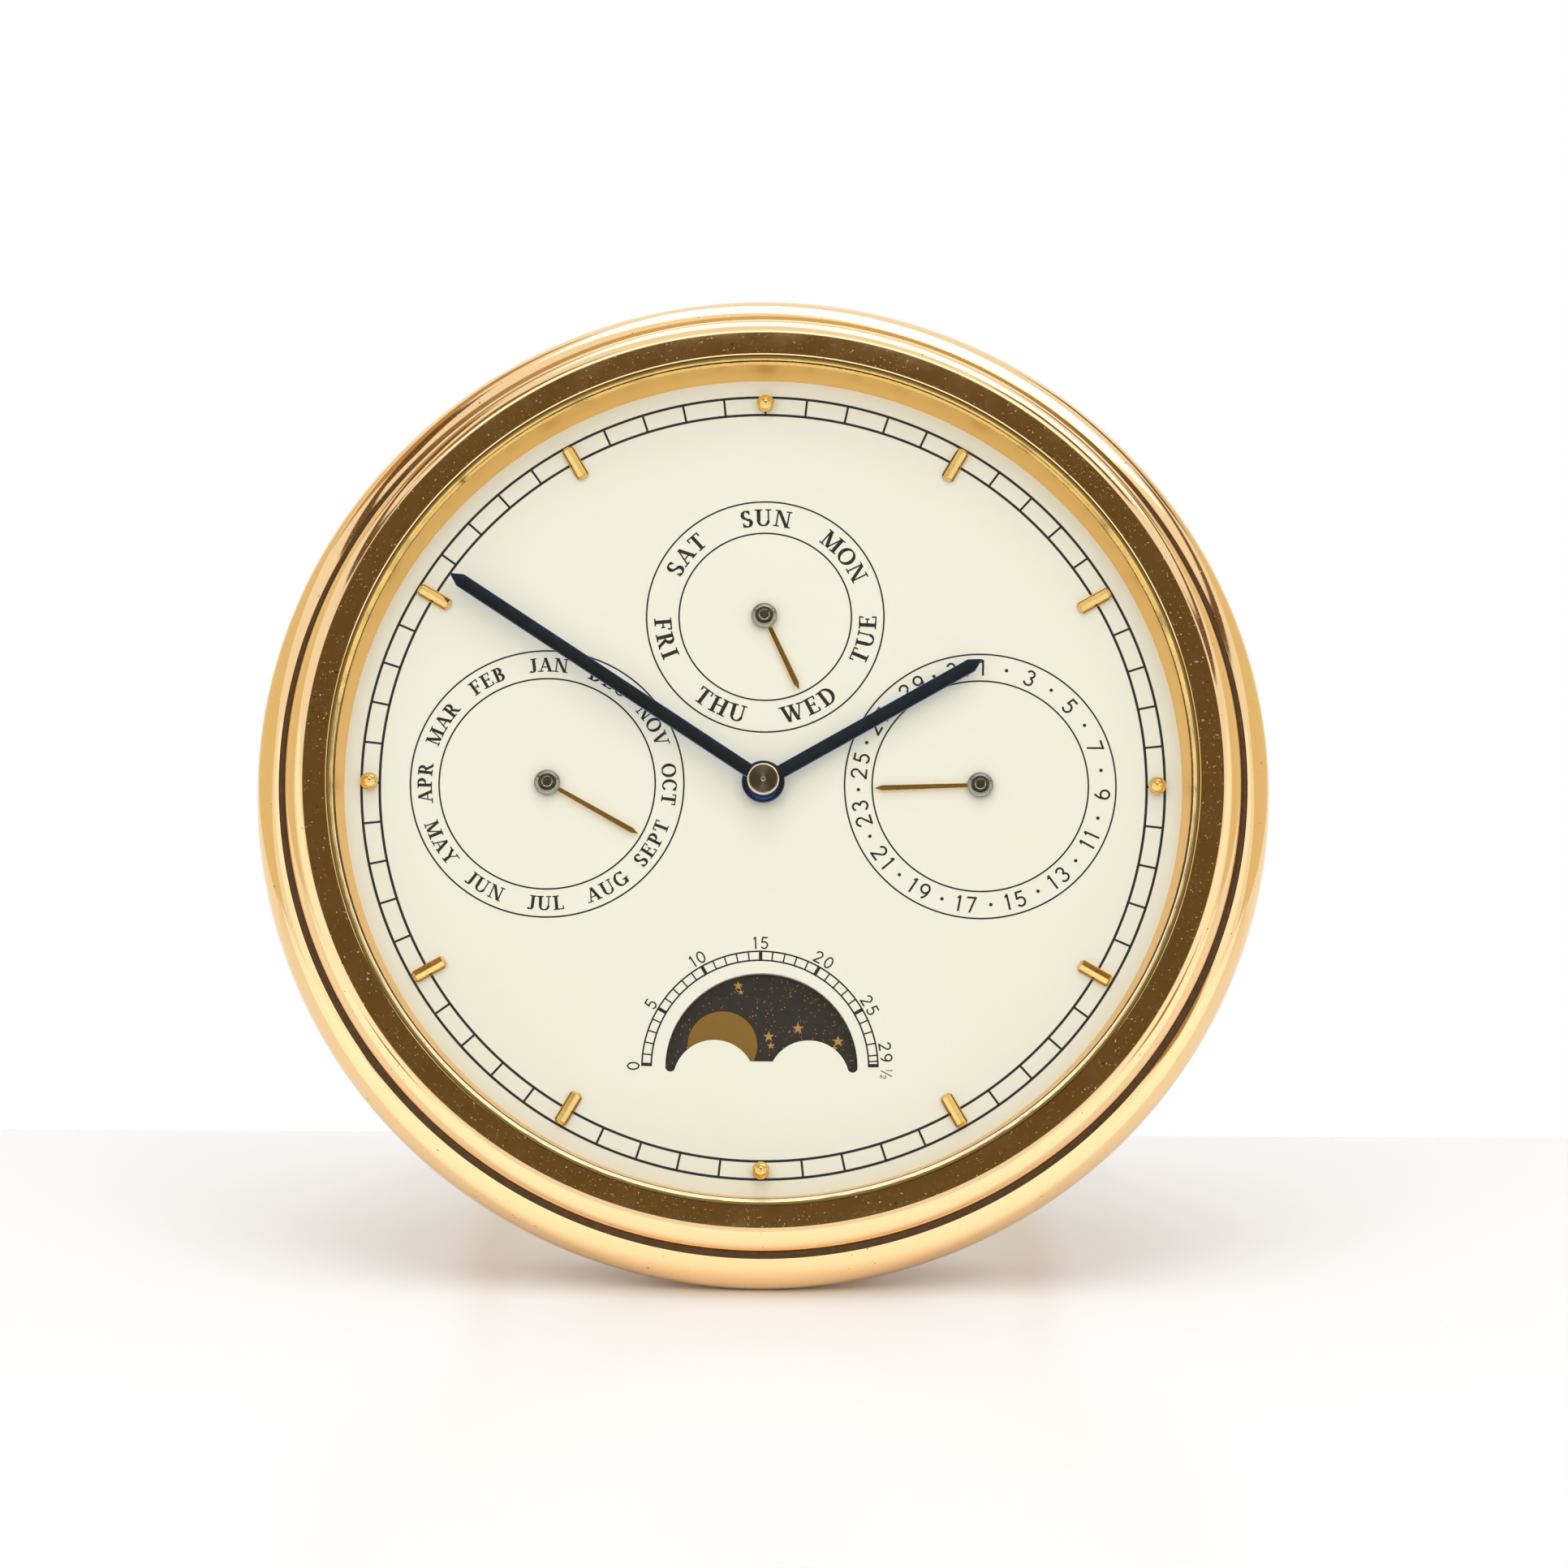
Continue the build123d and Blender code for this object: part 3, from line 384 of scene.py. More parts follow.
PRINT = 0.012
MOON_AXIS = (0, -29.3)
SKY_TOP = -0.8
MOON_RADIUS = 3.42
MOON_ORBIT = 5.0
MOON_ANGLE = 140.2
SKY_RADIUS = 10.2
sky_place = at(*MOON_AXIS, SKY_TOP + PRINT)
moon_turns = [math.radians(MOON_ANGLE + half) for half in (0, 180)]
moons = [(MOON_ORBIT * math.cos(turn), MOON_ORBIT * math.sin(turn)) for turn in moon_turns]
flat_print("gilt_moons", [polygon(x, y, [MOON_RADIUS] * 64) for x, y in moons],
           "moon", moon_gilt, sky_place)
chance = random.Random(7)
STAR_SIZES = (0.6, 0.56, 0.5, 0.46, 0.4, 0.36, 0.32)
STAR_WAIST = 0.4
STAR_ROOM = 0.2
DUST_SIZES = (0.035, 0.045, 0.06)
DUST_COUNT = 560


def clear_of_moons(room):
    """A place on the sky, in polar steps of chance, that keeps off the two moons."""
    while True:
        r, turn = SKY_RADIUS * math.sqrt(chance.uniform(0.05, 1)), chance.uniform(0, 2 * math.pi)
        x, y = r * math.cos(turn), r * math.sin(turn)
        if all(math.hypot(x - a, y - b) > MOON_RADIUS + room for a, b in moons):
            return x, y


stars = []
for size in [size for size in STAR_SIZES for n in range(2)]:
    x, y = clear_of_moons(size + STAR_ROOM)
    if y > 0:  # both halves of the sky carry the same stars
        stars += [polygon(side * x, side * y, [size, size * STAR_WAIST] * 5, side * math.pi / 2)
                  for side in (1, -1)]
flat_print("gilt_stars", stars, "moon", star_gilt, sky_place)
dust = [polygon(*clear_of_moons(0), [chance.choice(DUST_SIZES)] * 5) for n in range(DUST_COUNT)]
flat_print("gilt_dust", dust, "moon", star_gilt, sky_place)

# Dial: a brass disc sprayed with cream lacquer, smooth and a little silky
cream, cream_shader, cream_here = finish_named("cream_dial_lacquer", "#F3EFDF", roughness=0.4)
join(cream, clouded(cream, cream_here, 0.045, 3.0, "#F3ECDA", "#F6F0E1"),
     cream_shader, "Base Color")
fine_bumps(cream, cream_shader, cream_here, 5.2, 2.0, 0.12, 0.01)
keep(cream, "dial_plate")

# Rings and ticks: black ink pad-printed on the lacquer, duller than it, the minute track with lines
# of 0.26 mm and the sub-dials with hairlines
dial_ink = grained("black_dial_ink", "#100E0C", 0.0, 3.0, 2.0, 0.4, 0.65)


def printed_ring(name, radius, width, x=0.0, y=0.0, upper_half=False):
    """Thin printed circle, or its upper half."""
    bpy.ops.mesh.primitive_circle_add(vertices=256, radius=(radius - width / 2) * MM)
    piece = bpy.context.object
    piece.name = name
    edit(piece)
    grow = (radius + width / 2) / (radius - width / 2)
    bpy.ops.mesh.extrude_region_move()
    bpy.ops.transform.resize(value=(grow, grow, 1), center_override=(0, 0, 0))
    if upper_half:
        bpy.ops.mesh.select_all(action="SELECT")
        bpy.ops.mesh.bisect(plane_co=(0, 0, 0), plane_no=(0, 1, 0), clear_inner=True)
    bpy.ops.object.mode_set(mode="OBJECT")
    if piece.data.polygons[0].normal.z < 0:
        piece.data.flip_normals()
    return finish(piece, "case", dial_ink, at(x, y, PRINT))


def printed_ticks(name, inner, outer, width, angles, x=0.0, y=0.0):
    """Radial ticks at angles counted anticlockwise from the right."""
    ticks = []
    for angle in angles:
        along = Vector((math.cos(math.radians(angle)), math.sin(math.radians(angle))))
        side = Vector((-along.y, along.x)) * width / 2
        ticks.append([tuple(along * inner - side), tuple(along * outer - side),
                      tuple(along * outer + side), tuple(along * inner + side)])
    return flat_print(name, ticks, "case", dial_ink, at(x, y, PRINT))


TRACK_OUTER, TRACK_INNER, TRACK_LINE, TRACK_TICK = 39.6, 37.8, 0.26, 0.22
printed_ring("minute_track_outer", TRACK_OUTER, TRACK_LINE)
printed_ring("minute_track_inner", TRACK_INNER, TRACK_LINE)
printed_ticks("minute_ticks", TRACK_INNER, TRACK_OUTER, TRACK_TICK, [6 * n for n in range(60)])

DAY = (0.1, 17.1)
MONTH = (-21.3, 0)
DATE = (21.4, 0)
HAIRLINE = 0.16
for name, middle, outer, inner in (
    ("day", DAY, 11.75, 8.53),
    ("month", MONTH, 13.48, 10.65),
    ("date", DATE, 13.38, 10.66),
):
    printed_ring(name + "_ring_outer", outer, HAIRLINE, *middle)
    printed_ring(name + "_ring_inner", inner, HAIRLINE, *middle)

# The moon's age runs from 0 to 29 1/2 over the half circle, with a broad tick every fifth day
MOON_SCALE = (-0.15, -28.35)
SCALE_OUTER, SCALE_INNER, DAY_TICK = 11.55, 10.65, 0.14
FIFTH_OUTER, FIFTH_INNER, FIFTH_TICK = 11.63, 10.57, 0.34
scale_days = [180 - 6 * n for n in range(30) if n % 5] + [3]
scale_fifths = [180 - 30 * n for n in range(1, 6)] + [179.2, 0.8]
printed_ring("moon_scale_outer", SCALE_OUTER, HAIRLINE, *MOON_SCALE, upper_half=True)
printed_ring("moon_scale_inner", SCALE_INNER, HAIRLINE, *MOON_SCALE, upper_half=True)
printed_ticks("moon_scale_days", SCALE_INNER, SCALE_OUTER, DAY_TICK, scale_days, *MOON_SCALE)
printed_ticks("moon_scale_fives", FIFTH_INNER, FIFTH_OUTER, FIFTH_TICK, scale_fifths, *MOON_SCALE)

# Lettering: roman capitals with thick stems, hairlines and flat serifs, and thin round-ended
# numerals, pad-printed with the rings. Each is drawn stroke by stroke, in cap heights: its width,
# then its strokes.
THICK, THIN, SERIF = 0.19, 0.08, 0.11


def bar(left, right, y, width=THIN):
    """Level stroke."""
    return [[(left, y - width / 2), (right, y - width / 2),
             (right, y + width / 2), (left, y + width / 2)]]


def slant(x0, y0, x1, y1, width):
    """Straight stroke at any angle, cut level at both ends."""
    half = width / 2
    return [[(x0 - half, y0), (x0 + half, y0), (x1 + half, y1), (x1 - half, y1)]]


def foot(x, y, reach=SERIF + 0.07):
    """Flat serif at the foot or the top of a slanting stroke."""
    return bar(x - reach, x + reach, y + (THIN / 2 if y == 0 else -THIN / 2))


def stem(x, low=0.0, high=1.0, width=THICK, ends="bt"):
    """Upright stroke with a serif at its bottom, its top or both."""
    shapes = slant(x, low, x, high, width)
    for end, y in (("b", low + THIN / 2), ("t", high - THIN / 2)):
        if end in ends:
            shapes += bar(x - width / 2 - SERIF, x + width / 2 + SERIF, y)
    return shapes


def bowl(x, y, across, up, start=0, end=360, thick=THICK, thin=THIN):
    """Part of an oval, thick at its sides and thin at its top and foot."""
    steps = max(6, int(abs(end - start) / 15))
    pairs = []
    for n in range(steps + 1):
        turn = math.radians(start + (end - start) * n / steps)
        half = (thin + (thick - thin) * abs(math.cos(turn))) / 2
        pairs.append([(x + (across + s) * math.cos(turn), y + (up + s) * math.sin(turn))
                      for s in (half, -half)])
    return [[a[1], a[0], b[0], b[1]] for a, b in zip(pairs, pairs[1:])]


ROMAN = {
    "A": (0.86, slant(0.13, 0, 0.43, 1, THIN) + slant(0.73, 0, 0.43, 1, THICK)
          + bar(0.22, 0.62, 0.34) + foot(0.13, 0) + foot(0.73, 0)),
    "B": (0.74, stem(0.2) + bowl(0.32, 0.745, 0.2, 0.225, -90, 90)
          + bowl(0.32, 0.265, 0.25, 0.235, -90, 90) + bar(0.2, 0.32, 0.97)
          + bar(0.2, 0.32, 0.505) + bar(0.2, 0.32, 0.03)),
    "C": (0.8, bowl(0.43, 0.5, 0.32, 0.47, 40, 320) + slant(0.7, 0.72, 0.7, 0.98, THIN)),
    "D": (0.88, stem(0.2) + bowl(0.34, 0.5, 0.37, 0.47, -90, 90) + bar(0.2, 0.34, 0.97)
          + bar(0.2, 0.34, 0.03)),
    "E": (0.74, stem(0.2) + bar(0.2, 0.62, 0.97) + bar(0.2, 0.52, 0.52) + bar(0.2, 0.64, 0.03)
          + slant(0.6, 0.76, 0.62, 1, THIN) + slant(0.64, 0, 0.63, 0.26, THIN)
          + slant(0.51, 0.4, 0.51, 0.64, THIN)),
    "F": (0.68, stem(0.2) + bar(0.2, 0.6, 0.97) + bar(0.2, 0.5, 0.5)
          + slant(0.58, 0.76, 0.6, 1, THIN) + slant(0.49, 0.38, 0.49, 0.62, THIN)),
    "G": (0.88, bowl(0.44, 0.5, 0.33, 0.47, 42, 318) + stem(0.72, 0.02, 0.42, THICK, "t")
          + slant(0.7, 0.74, 0.7, 0.98, THIN)),
    "H": (0.9, stem(0.2) + stem(0.7) + bar(0.2, 0.7, 0.52)),
    "I": (0.42, stem(0.21)),
    "J": (0.52, stem(0.34, 0.2, 1.0, THICK, "t") + bowl(0.2, 0.2, 0.14, 0.17, -150, 0)),
    "L": (0.7, stem(0.2) + bar(0.2, 0.61, 0.03) + slant(0.62, 0, 0.6, 0.27, THIN)),
    "M": (1.06, stem(0.16, width=THIN) + stem(0.88) + slant(0.18, 1, 0.51, 0.02, THICK)
          + slant(0.86, 1, 0.51, 0.02, THIN)),
    "N": (0.9, stem(0.17, width=THIN) + stem(0.74, width=THIN) + slant(0.2, 1, 0.72, 0, THICK)),
    "O": (0.9, bowl(0.45, 0.5, 0.35, 0.47)),
    "P": (0.72, stem(0.2) + bowl(0.32, 0.71, 0.24, 0.26, -90, 90) + bar(0.2, 0.32, 0.97)
          + bar(0.2, 0.32, 0.45)),
    "R": (0.82, stem(0.2) + bowl(0.32, 0.73, 0.22, 0.24, -90, 90) + bar(0.2, 0.32, 0.97)
          + bar(0.2, 0.34, 0.49) + slant(0.4, 0.48, 0.68, 0, THICK) + foot(0.71, 0, 0.1)),
    "S": (0.64, bowl(0.32, 0.745, 0.18, 0.225, 30, 250) + bowl(0.32, 0.255, 0.2, 0.225, -150, 70)
          + slant(0.18, 0.6, 0.46, 0.36, THICK) + slant(0.49, 0.74, 0.49, 0.98, THIN)
          + slant(0.13, 0.02, 0.13, 0.28, THIN)),
    "T": (0.78, stem(0.39, ends="b") + bar(0.07, 0.71, 0.97) + slant(0.09, 0.74, 0.08, 1, THIN)
          + slant(0.69, 0.74, 0.7, 1, THIN)),
    "U": (0.88, stem(0.2, 0.3, 1.0, THICK, "t") + stem(0.7, 0.3, 1.0, THIN, "t")
          + bowl(0.44, 0.3, 0.25, 0.28, 180, 360, THICK * 0.8)),
    "V": (0.88, slant(0.15, 1, 0.45, 0, THICK) + slant(0.76, 1, 0.45, 0, THIN)
          + foot(0.15, 1) + foot(0.76, 1)),
    "W": (1.2, slant(0.14, 1, 0.39, 0, THICK) + slant(0.62, 1, 0.39, 0, THIN)
          + slant(0.56, 1, 0.83, 0, THICK) + slant(1.06, 1, 0.83, 0, THIN) + foot(0.14, 1)
          + foot(0.57, 1) + foot(1.06, 1)),
    "Y": (0.84, slant(0.13, 1, 0.42, 0.46, THICK) + slant(0.72, 1, 0.42, 0.46, THIN)
          + stem(0.42, 0, 0.48, THICK, "b") + foot(0.13, 1) + foot(0.72, 1)),
}
PEN = 0.125
EVEN = {"thick": PEN, "thin": PEN}
NUMERALS = {
    "0": (0.68, bowl(0.34, 0.5, 0.27, 0.45, **EVEN)),
    "1": (0.36, slant(0.24, 0, 0.24, 1, PEN) + slant(0.1, 0.8, 0.23, 1, PEN)),
    "2": (0.68, bowl(0.34, 0.71, 0.25, 0.24, -35, 175, **EVEN)
          + slant(0.08, 0.05, 0.54, 0.57, PEN * 1.3) + bar(0.03, 0.64, PEN / 2, PEN)),
    "3": (0.68, bowl(0.32, 0.74, 0.22, 0.21, -80, 165, **EVEN)
          + bowl(0.32, 0.28, 0.26, 0.23, -165, 85, **EVEN)),
    "5": (0.68, bowl(0.32, 0.32, 0.26, 0.27, -150, 130, **EVEN) + slant(0.13, 0.5, 0.19, 1, PEN)
          + bar(0.16, 0.58, 1 - PEN / 2, PEN)),
    "7": (0.66, bar(0.03, 0.62, 1 - PEN / 2, PEN) + slant(0.22, 0, 0.57, 1, PEN)),
    "9": (0.68, bowl(0.34, 0.68, 0.26, 0.27, **EVEN) + bowl(0.17, 0.62, 0.42, 0.6, -68, 0, **EVEN)),
}


def small(character, x, y, size):
    """Small numeral, for the half day."""
    return [[(x + a * size, y + b * size) for a, b in shape] for shape in NUMERALS[character][1]]


NUMERALS["h"] = (0.9, small("1", 0, 0.5, 0.5) + slant(0.16, 0, 0.62, 1, PEN * 0.7)
                 + small("2", 0.52, 0, 0.5))


def lettering(name, words, font, height, space, x, y, broad=1.0):
    """Words printed round a circle: each is its text, its angle clockwise from the top, the radius
    of the middle of its letters, and whether its tops point outwards. Broad widens the letters."""
    shapes = []
    for text, angle, radius, outward in words:
        pen = -(sum(font[c][0] * broad for c in text) + space * (len(text) - 1)) * height / 2
        for c in text:
            width, strokes = font[c]
            middle = pen + width * broad * height / 2
            pen += (width * broad + space) * height
            turn = math.radians(-angle) + (-middle / radius if outward else middle / radius)
            spin = Matrix.Rotation(turn, 4, "Z") @ Matrix.Translation((0, radius, 0))
            if not outward:
                spin = spin @ Matrix.Rotation(math.pi, 4, "Z")
            for stroke in strokes:
                corners = [spin @ Vector(((a - width / 2) * broad * height, (b - 0.5) * height, 0))
                           for a, b in stroke]
                shapes.append([(c.x, c.y) for c in corners])
    return flat_print(name, shapes, "case", dial_ink, at(x, y, PRINT))


DAY_RADIUS, DAY_CAPS = 10.15, 1.7
MONTH_RADIUS, MONTH_CAPS = 12.07, 1.42
DATE_RADIUS, DATE_HEIGHT = 12.02, 1.62
AGE_RADIUS, AGE_HEIGHT = 12.4, 1.22
days = ["SUN", "MON", "TUE", "WED", "THU", "FRI", "SAT"]
day_words = [(day, 360 / 7 * n, DAY_RADIUS, day in ("SAT", "SUN", "MON"))
             for n, day in enumerate(days)]
lettering("day_names", day_words, ROMAN, DAY_CAPS, 0.12, *DAY, broad=1.14)
months = ["JAN", "FEB", "MAR", "APR", "MAY", "JUN", "JUL", "AUG", "SEPT", "OCT", "NOV", "DEC"]
feet_out = ("MAY", "JUN", "JUL", "AUG", "SEPT")
month_words = [(month, -30 * n, MONTH_RADIUS, month not in feet_out)
               for n, month in enumerate(months)]
lettering("month_names", month_words, ROMAN, MONTH_CAPS, 0.11, *MONTH, broad=1.12)
DATE_STEP = 360 / 31
DATE_START = 0.8
odd_dates = [(str(n), DATE_START + DATE_STEP * (n - 1), DATE_RADIUS, not 11 <= n <= 21)
             for n in range(1, 32, 2)]
lettering("date_numbers", odd_dates, NUMERALS, DATE_HEIGHT, 0.3, *DATE)
DOT_RADIUS = 0.18
even_dots = []
for n in range(2, 31, 2):
    turn = math.radians(90 - DATE_START - DATE_STEP * (n - 1))
    even_dots.append(polygon(DATE_RADIUS * math.cos(turn), DATE_RADIUS * math.sin(turn),
                             [DOT_RADIUS] * 14))
flat_print("date_dots", even_dots, "case", dial_ink, at(*DATE, PRINT))
ages = ([(str(5 * n), 30 * n - 90, AGE_RADIUS, True) for n in range(6)]
        + [("29", 83, AGE_RADIUS, True)])
lettering("moon_ages", ages, NUMERALS, AGE_HEIGHT, 0.26, *MOON_SCALE)
lettering("moon_half_day", [("h", 93.2, AGE_RADIUS, True)], NUMERALS, 1.15, 0, *MOON_SCALE)

# Hour batons and quarter beads: gold plated brass, finer and glossier than the case, riveted
# through the dial, the batons with milled chamfers and the beads turned with a narrow foot
fine_gold = gold_plate("fine_gilt_brass", "#F4CB80", 0.05, 0.04, 0.06)
finish(eased("hour_batons", 0.27, 1), "case", fine_gold, IN_PLACE)
BEAD_ACROSS, BEAD_UP, BEAD_MIDDLE = 0.88, 0.792, 0.62
FOOT_RADIUS, FOOT_HEIGHT = 0.62, 0.1
BEAD_RING = 38.83
for number in range(4):
    bead = turned(f"quarter_bead_{number}", [
        (0, 0),
        (FOOT_RADIUS, 0),
        (FOOT_RADIUS, FOOT_HEIGHT),
        *arc((0, BEAD_MIDDLE), BEAD_ACROSS, BEAD_UP, -42, 88, 16),
        (0, BEAD_MIDDLE + BEAD_UP),
    ], 40, closed=False, smooth=40)
    quarter = (Matrix.Rotation(math.pi / 2 * number, 4, "Z")
               @ Matrix.Translation((0, BEAD_RING * MM, 0)))
    finish(bead, "case", fine_gold, clock_place @ quarter)
    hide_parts("quarter_balls")

# Small hands: gilt brass needles stamped flat with eased edges, each under a turned steel cap with
# a raised tip. Their flat tops mirror the dark of the room and their edges catch the light.
dark_steel = grained("mirror_polished_steel", "#9C9A95", 1.0, 3.0, 3.0, 0.02, 0.05)
CAP_Z = 0.5
CAP_RADIUS, CAP_LAND, CAP_EDGE = 1.3, 0.82, 0.48
for name, axis in (("day", (0, 17.1)), ("month", (-21.3, 0)), ("date", (21.4, 0))):
    finish(eased(name + "_hand", 0.035, 2), name, fine_gold, IN_PLACE)
    cap = turned(name + "_cap_turned", [
        (0, CAP_Z + 0.55),
        (0.46, CAP_Z + 0.55),
        (0.55, CAP_Z + 0.51),
        (0.58, CAP_Z + 0.37),
        (CAP_LAND, CAP_Z + 0.367),
        *arc((CAP_LAND, CAP_Z + 0.06), CAP_EDGE, 0.306, 87, 0, 10),
        (CAP_RADIUS, CAP_Z),
        (0, CAP_Z),
    ], 48, closed=False, smooth=22)
    finish(cap, name, dark_steel, at(*axis))
    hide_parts(name + "_cap")

# Main hands: flat steel baton hands, polished and fire blued, with pointed ends. Their tops mirror
# the dark of the room and look nearly black; the blue shows where the rims of their bosses catch
# light.
blued, blued_shader, blued_here = finish_named("fire_blued_steel", "#4464A0", 1.0, 0.05)
join(blued, clouded(blued, blued_here, 0.7, 4.0, "#3C5A92", "#4D70B0"), blued_shader, "Base Color")
finish(eased("hour_hand", 0.07, 2), "hour", blued, IN_PLACE)
finish(eased("minute_hand", 0.07, 2), "minute", blued, IN_PLACE)

# Hub: a pale brass ring round a turned steel centre with a small centre mark, pressed on the minute
# hand. The centre's fine rings draw the light out to a soft fan.
turned_steel, turned_shader, turned_here = finish_named("turned_steel", "#A39D93", 1.0, 0.1)
turning_marks(turned_steel, turned_shader, turned_here, 0.16, 0.16)
pale_brass = gold_plate("pale_turned_brass", "#EFDCC2", 0.12, 0.1, 0.1)
HUB_Z = 2.2
HUB_RADIUS, HUB_FACE = 1.4, 0.45
HUB_RING_INSIDE, HUB_RING_OUTSIDE = 1.41, 1.57
hub_ring = turned("hub_ring", [
    (HUB_RING_INSIDE, HUB_Z),
    (HUB_RING_OUTSIDE, HUB_Z),
    (HUB_RING_OUTSIDE, HUB_Z + 0.47),
    (1.53, HUB_Z + 0.53),
    (1.48, HUB_Z + 0.55),
    (1.42, HUB_Z + 0.5),
], 72, smooth=40)
finish(hub_ring, "minute", pale_brass)
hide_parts("hub_nut")
hub_centre = turned("hub_centre", [
    (0, HUB_Z + 0.02),
    (0.15, HUB_Z + 0.02),
    (0.16, HUB_Z + 0.48),
    (0.2, HUB_Z + 0.5),
    (0.26, HUB_Z + HUB_FACE),
    (HUB_RADIUS - 0.06, HUB_Z + HUB_FACE),
    (HUB_RADIUS, HUB_Z + 0.4),
    (HUB_RADIUS, HUB_Z),
    (0, HUB_Z),
], 72, closed=False, smooth=25)
finish(hub_centre, "minute", turned_steel)

# Sloping ring inside the bezel: turned brass, its slope satin gilt and its narrow top land
# polished, so that the land looks olive under the glass
ring_gold, ring_shader, ring_here = finish_named("satin_gilt_ring", "#FFCF7A", 1.0, 0.32)
facing = node(ring_gold, "ShaderNodeNewGeometry")
square_on = node(ring_gold, "ShaderNodeVectorMath", [(0, facing.outputs["Normal"])],
                 operation="DOT_PRODUCT")
square_on.inputs[1].default_value = dial_out
ring_gloss = node(ring_gold, "ShaderNodeMapRange", [("Value", square_on.outputs["Value"])],
                  From_Min=0.7, From_Max=0.95, To_Min=0.34, To_Max=0.1)
join(ring_gold, ring_gloss.outputs[0], ring_shader, "Roughness")
fine_bumps(ring_gold, ring_shader, ring_here, 4.0, 2.0, 0.25, 0.02)
keep(ring_gold, "rehaut_ring")

# Glass: a flat disc of mineral glass with a polished edge bevel and the faintest haze of wiping,
# in a thin olive plastic gasket
mineral_glass = grained("mineral_glass", "#FBFFFC", 0.0, 0.12, 3.0, 0.0, 0.012, 0.45, 0.7,
                        IOR=1.52, Transmission_Weight=1.0)
GLASS_RADIUS = 42.6
GLASS_LOW, GLASS_TOP = 3.2, 4.5
glass_disc = turned("glass_disc", [
    (0, GLASS_TOP),
    (GLASS_RADIUS - 0.28, GLASS_TOP),
    (GLASS_RADIUS, GLASS_TOP - 0.22),
    (GLASS_RADIUS, GLASS_LOW),
    (0, GLASS_LOW),
], 192, closed=False)
finish(glass_disc, "case", mineral_glass)
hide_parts("crystal")
glass_disc.visible_shadow = glass_disc.visible_diffuse = False
gasket_plastic = grained("olive_gasket_plastic", "#7C6830", 0.0, 2.4, 3.0, 0.4, 0.52, 0.35, 0.7)
GASKET_INSIDE, GASKET_OUTSIDE = GLASS_RADIUS + 0.02, GLASS_RADIUS + 0.3
gasket = turned("glass_gasket", [
    (GASKET_INSIDE, GLASS_LOW),
    (GASKET_OUTSIDE, GLASS_LOW),
    (GASKET_OUTSIDE, GLASS_TOP - 0.35),
    (GLASS_RADIUS + 0.16, GLASS_TOP - 0.25),
    (GASKET_INSIDE, GLASS_TOP - 0.35),
], 192)
finish(gasket, "case", gasket_plastic)

# Bezel: a turned and polished ring, pressed over the glass. Its flat band lies square to the reader
# and mirrors the dark room; the round outside of it mirrors the light walls.
BEZEL_SHOULDER, BEZEL_EDGE, BEZEL_INSIDE = 45.15, 47.1, 42.92
BEZEL_TOP, BEZEL_SIDE = 4.6, 2.0
bezel_ring = turned("bezel_ring", [
    (BEZEL_INSIDE, BEZEL_TOP - 0.1),
    (BEZEL_INSIDE + 0.1, BEZEL_TOP),
    *arc((BEZEL_SHOULDER, BEZEL_SIDE), BEZEL_EDGE - BEZEL_SHOULDER, BEZEL_TOP - BEZEL_SIDE,
         90, 0, 20),
    (BEZEL_EDGE, SEAT_Z),
    (BEZEL_INSIDE, SEAT_Z),
], 288, smooth=25)
finish(bezel_ring, "case", polished_gold)
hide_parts("bezel")

# Painted shade: a dark brown line in the groove between bezel and case, fading out towards the top
groove_shade, groove_shade_shader, groove_shade_here = finish_named("painted_groove_shade", "#5C3D1A", 0.4, 0.4)
shade_browns = clouded(groove_shade, groove_shade_here, 1.5, 4.0, "#35220F", "#60441D")
# The painted shade fades out between these heights, so the top of the groove is left lit
SHADE_FADES_FROM, SHADE_FADES_TO = 0.076, 0.092  # heights over the table, in metres
groove_shade_height = node(groove_shade, "ShaderNodeSeparateXYZ", [("Vector", groove_shade_here)])
groove_shade_fading = node(groove_shade, "ShaderNodeMapRange", [("Value", groove_shade_height.outputs["Z"])],
                    From_Min=SHADE_FADES_FROM, From_Max=SHADE_FADES_TO)
groove_shade_faded = node(groove_shade, "ShaderNodeMix", [("Factor", groove_shade_fading.outputs[0]), (6, shade_browns)],
                    data_type="RGBA")
groove_shade_faded.inputs[7].default_value = colour("#C79E58")
join(groove_shade, groove_shade_faded.outputs[2], groove_shade_shader, "Base Color")
# Thin ring filling the groove, which carries the painted shade
groove_line = turned("painted_shade_in_groove", [
    (BEZEL_EDGE + 0.01, 1.85),
    (GROOVE_TOP[0], 1.64),
    (47.6, 1.6),
    GROOVE_TOP,
    GROOVE_FOOT,
], 288)
finish(groove_line, "case", groove_shade)

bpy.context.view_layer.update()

# Table: a white lacquered board. Its far edge shows faintly behind the clock, and it mirrors the
# gilt faintly. The gilt mirrors it a little brighter than the lamps make it, through a painted glow
# that only reflections see. Close under the clock that glow fades out, as a painted shadow.
TABLE_FAR_EDGE = 0.0475
TABLE_SIZE = 4.0
TABLE_MIDDLE = TABLE_FAR_EDGE - TABLE_SIZE / 2
bpy.ops.mesh.primitive_plane_add(size=TABLE_SIZE, location=(0, TABLE_MIDDLE, 0))
table = bpy.context.object
table.name = "table"
lacquer, lacquer_shader, lacquer_here = finish_named(
    "white_table_lacquer", "#F7F7F7", roughness=0.26, Specular_IOR_Level=0.05)
table.data.materials.append(lacquer)
mirrored = node(lacquer, "ShaderNodeLightPath")
table_depth = node(lacquer, "ShaderNodeSeparateXYZ", [("Vector", lacquer_here)])
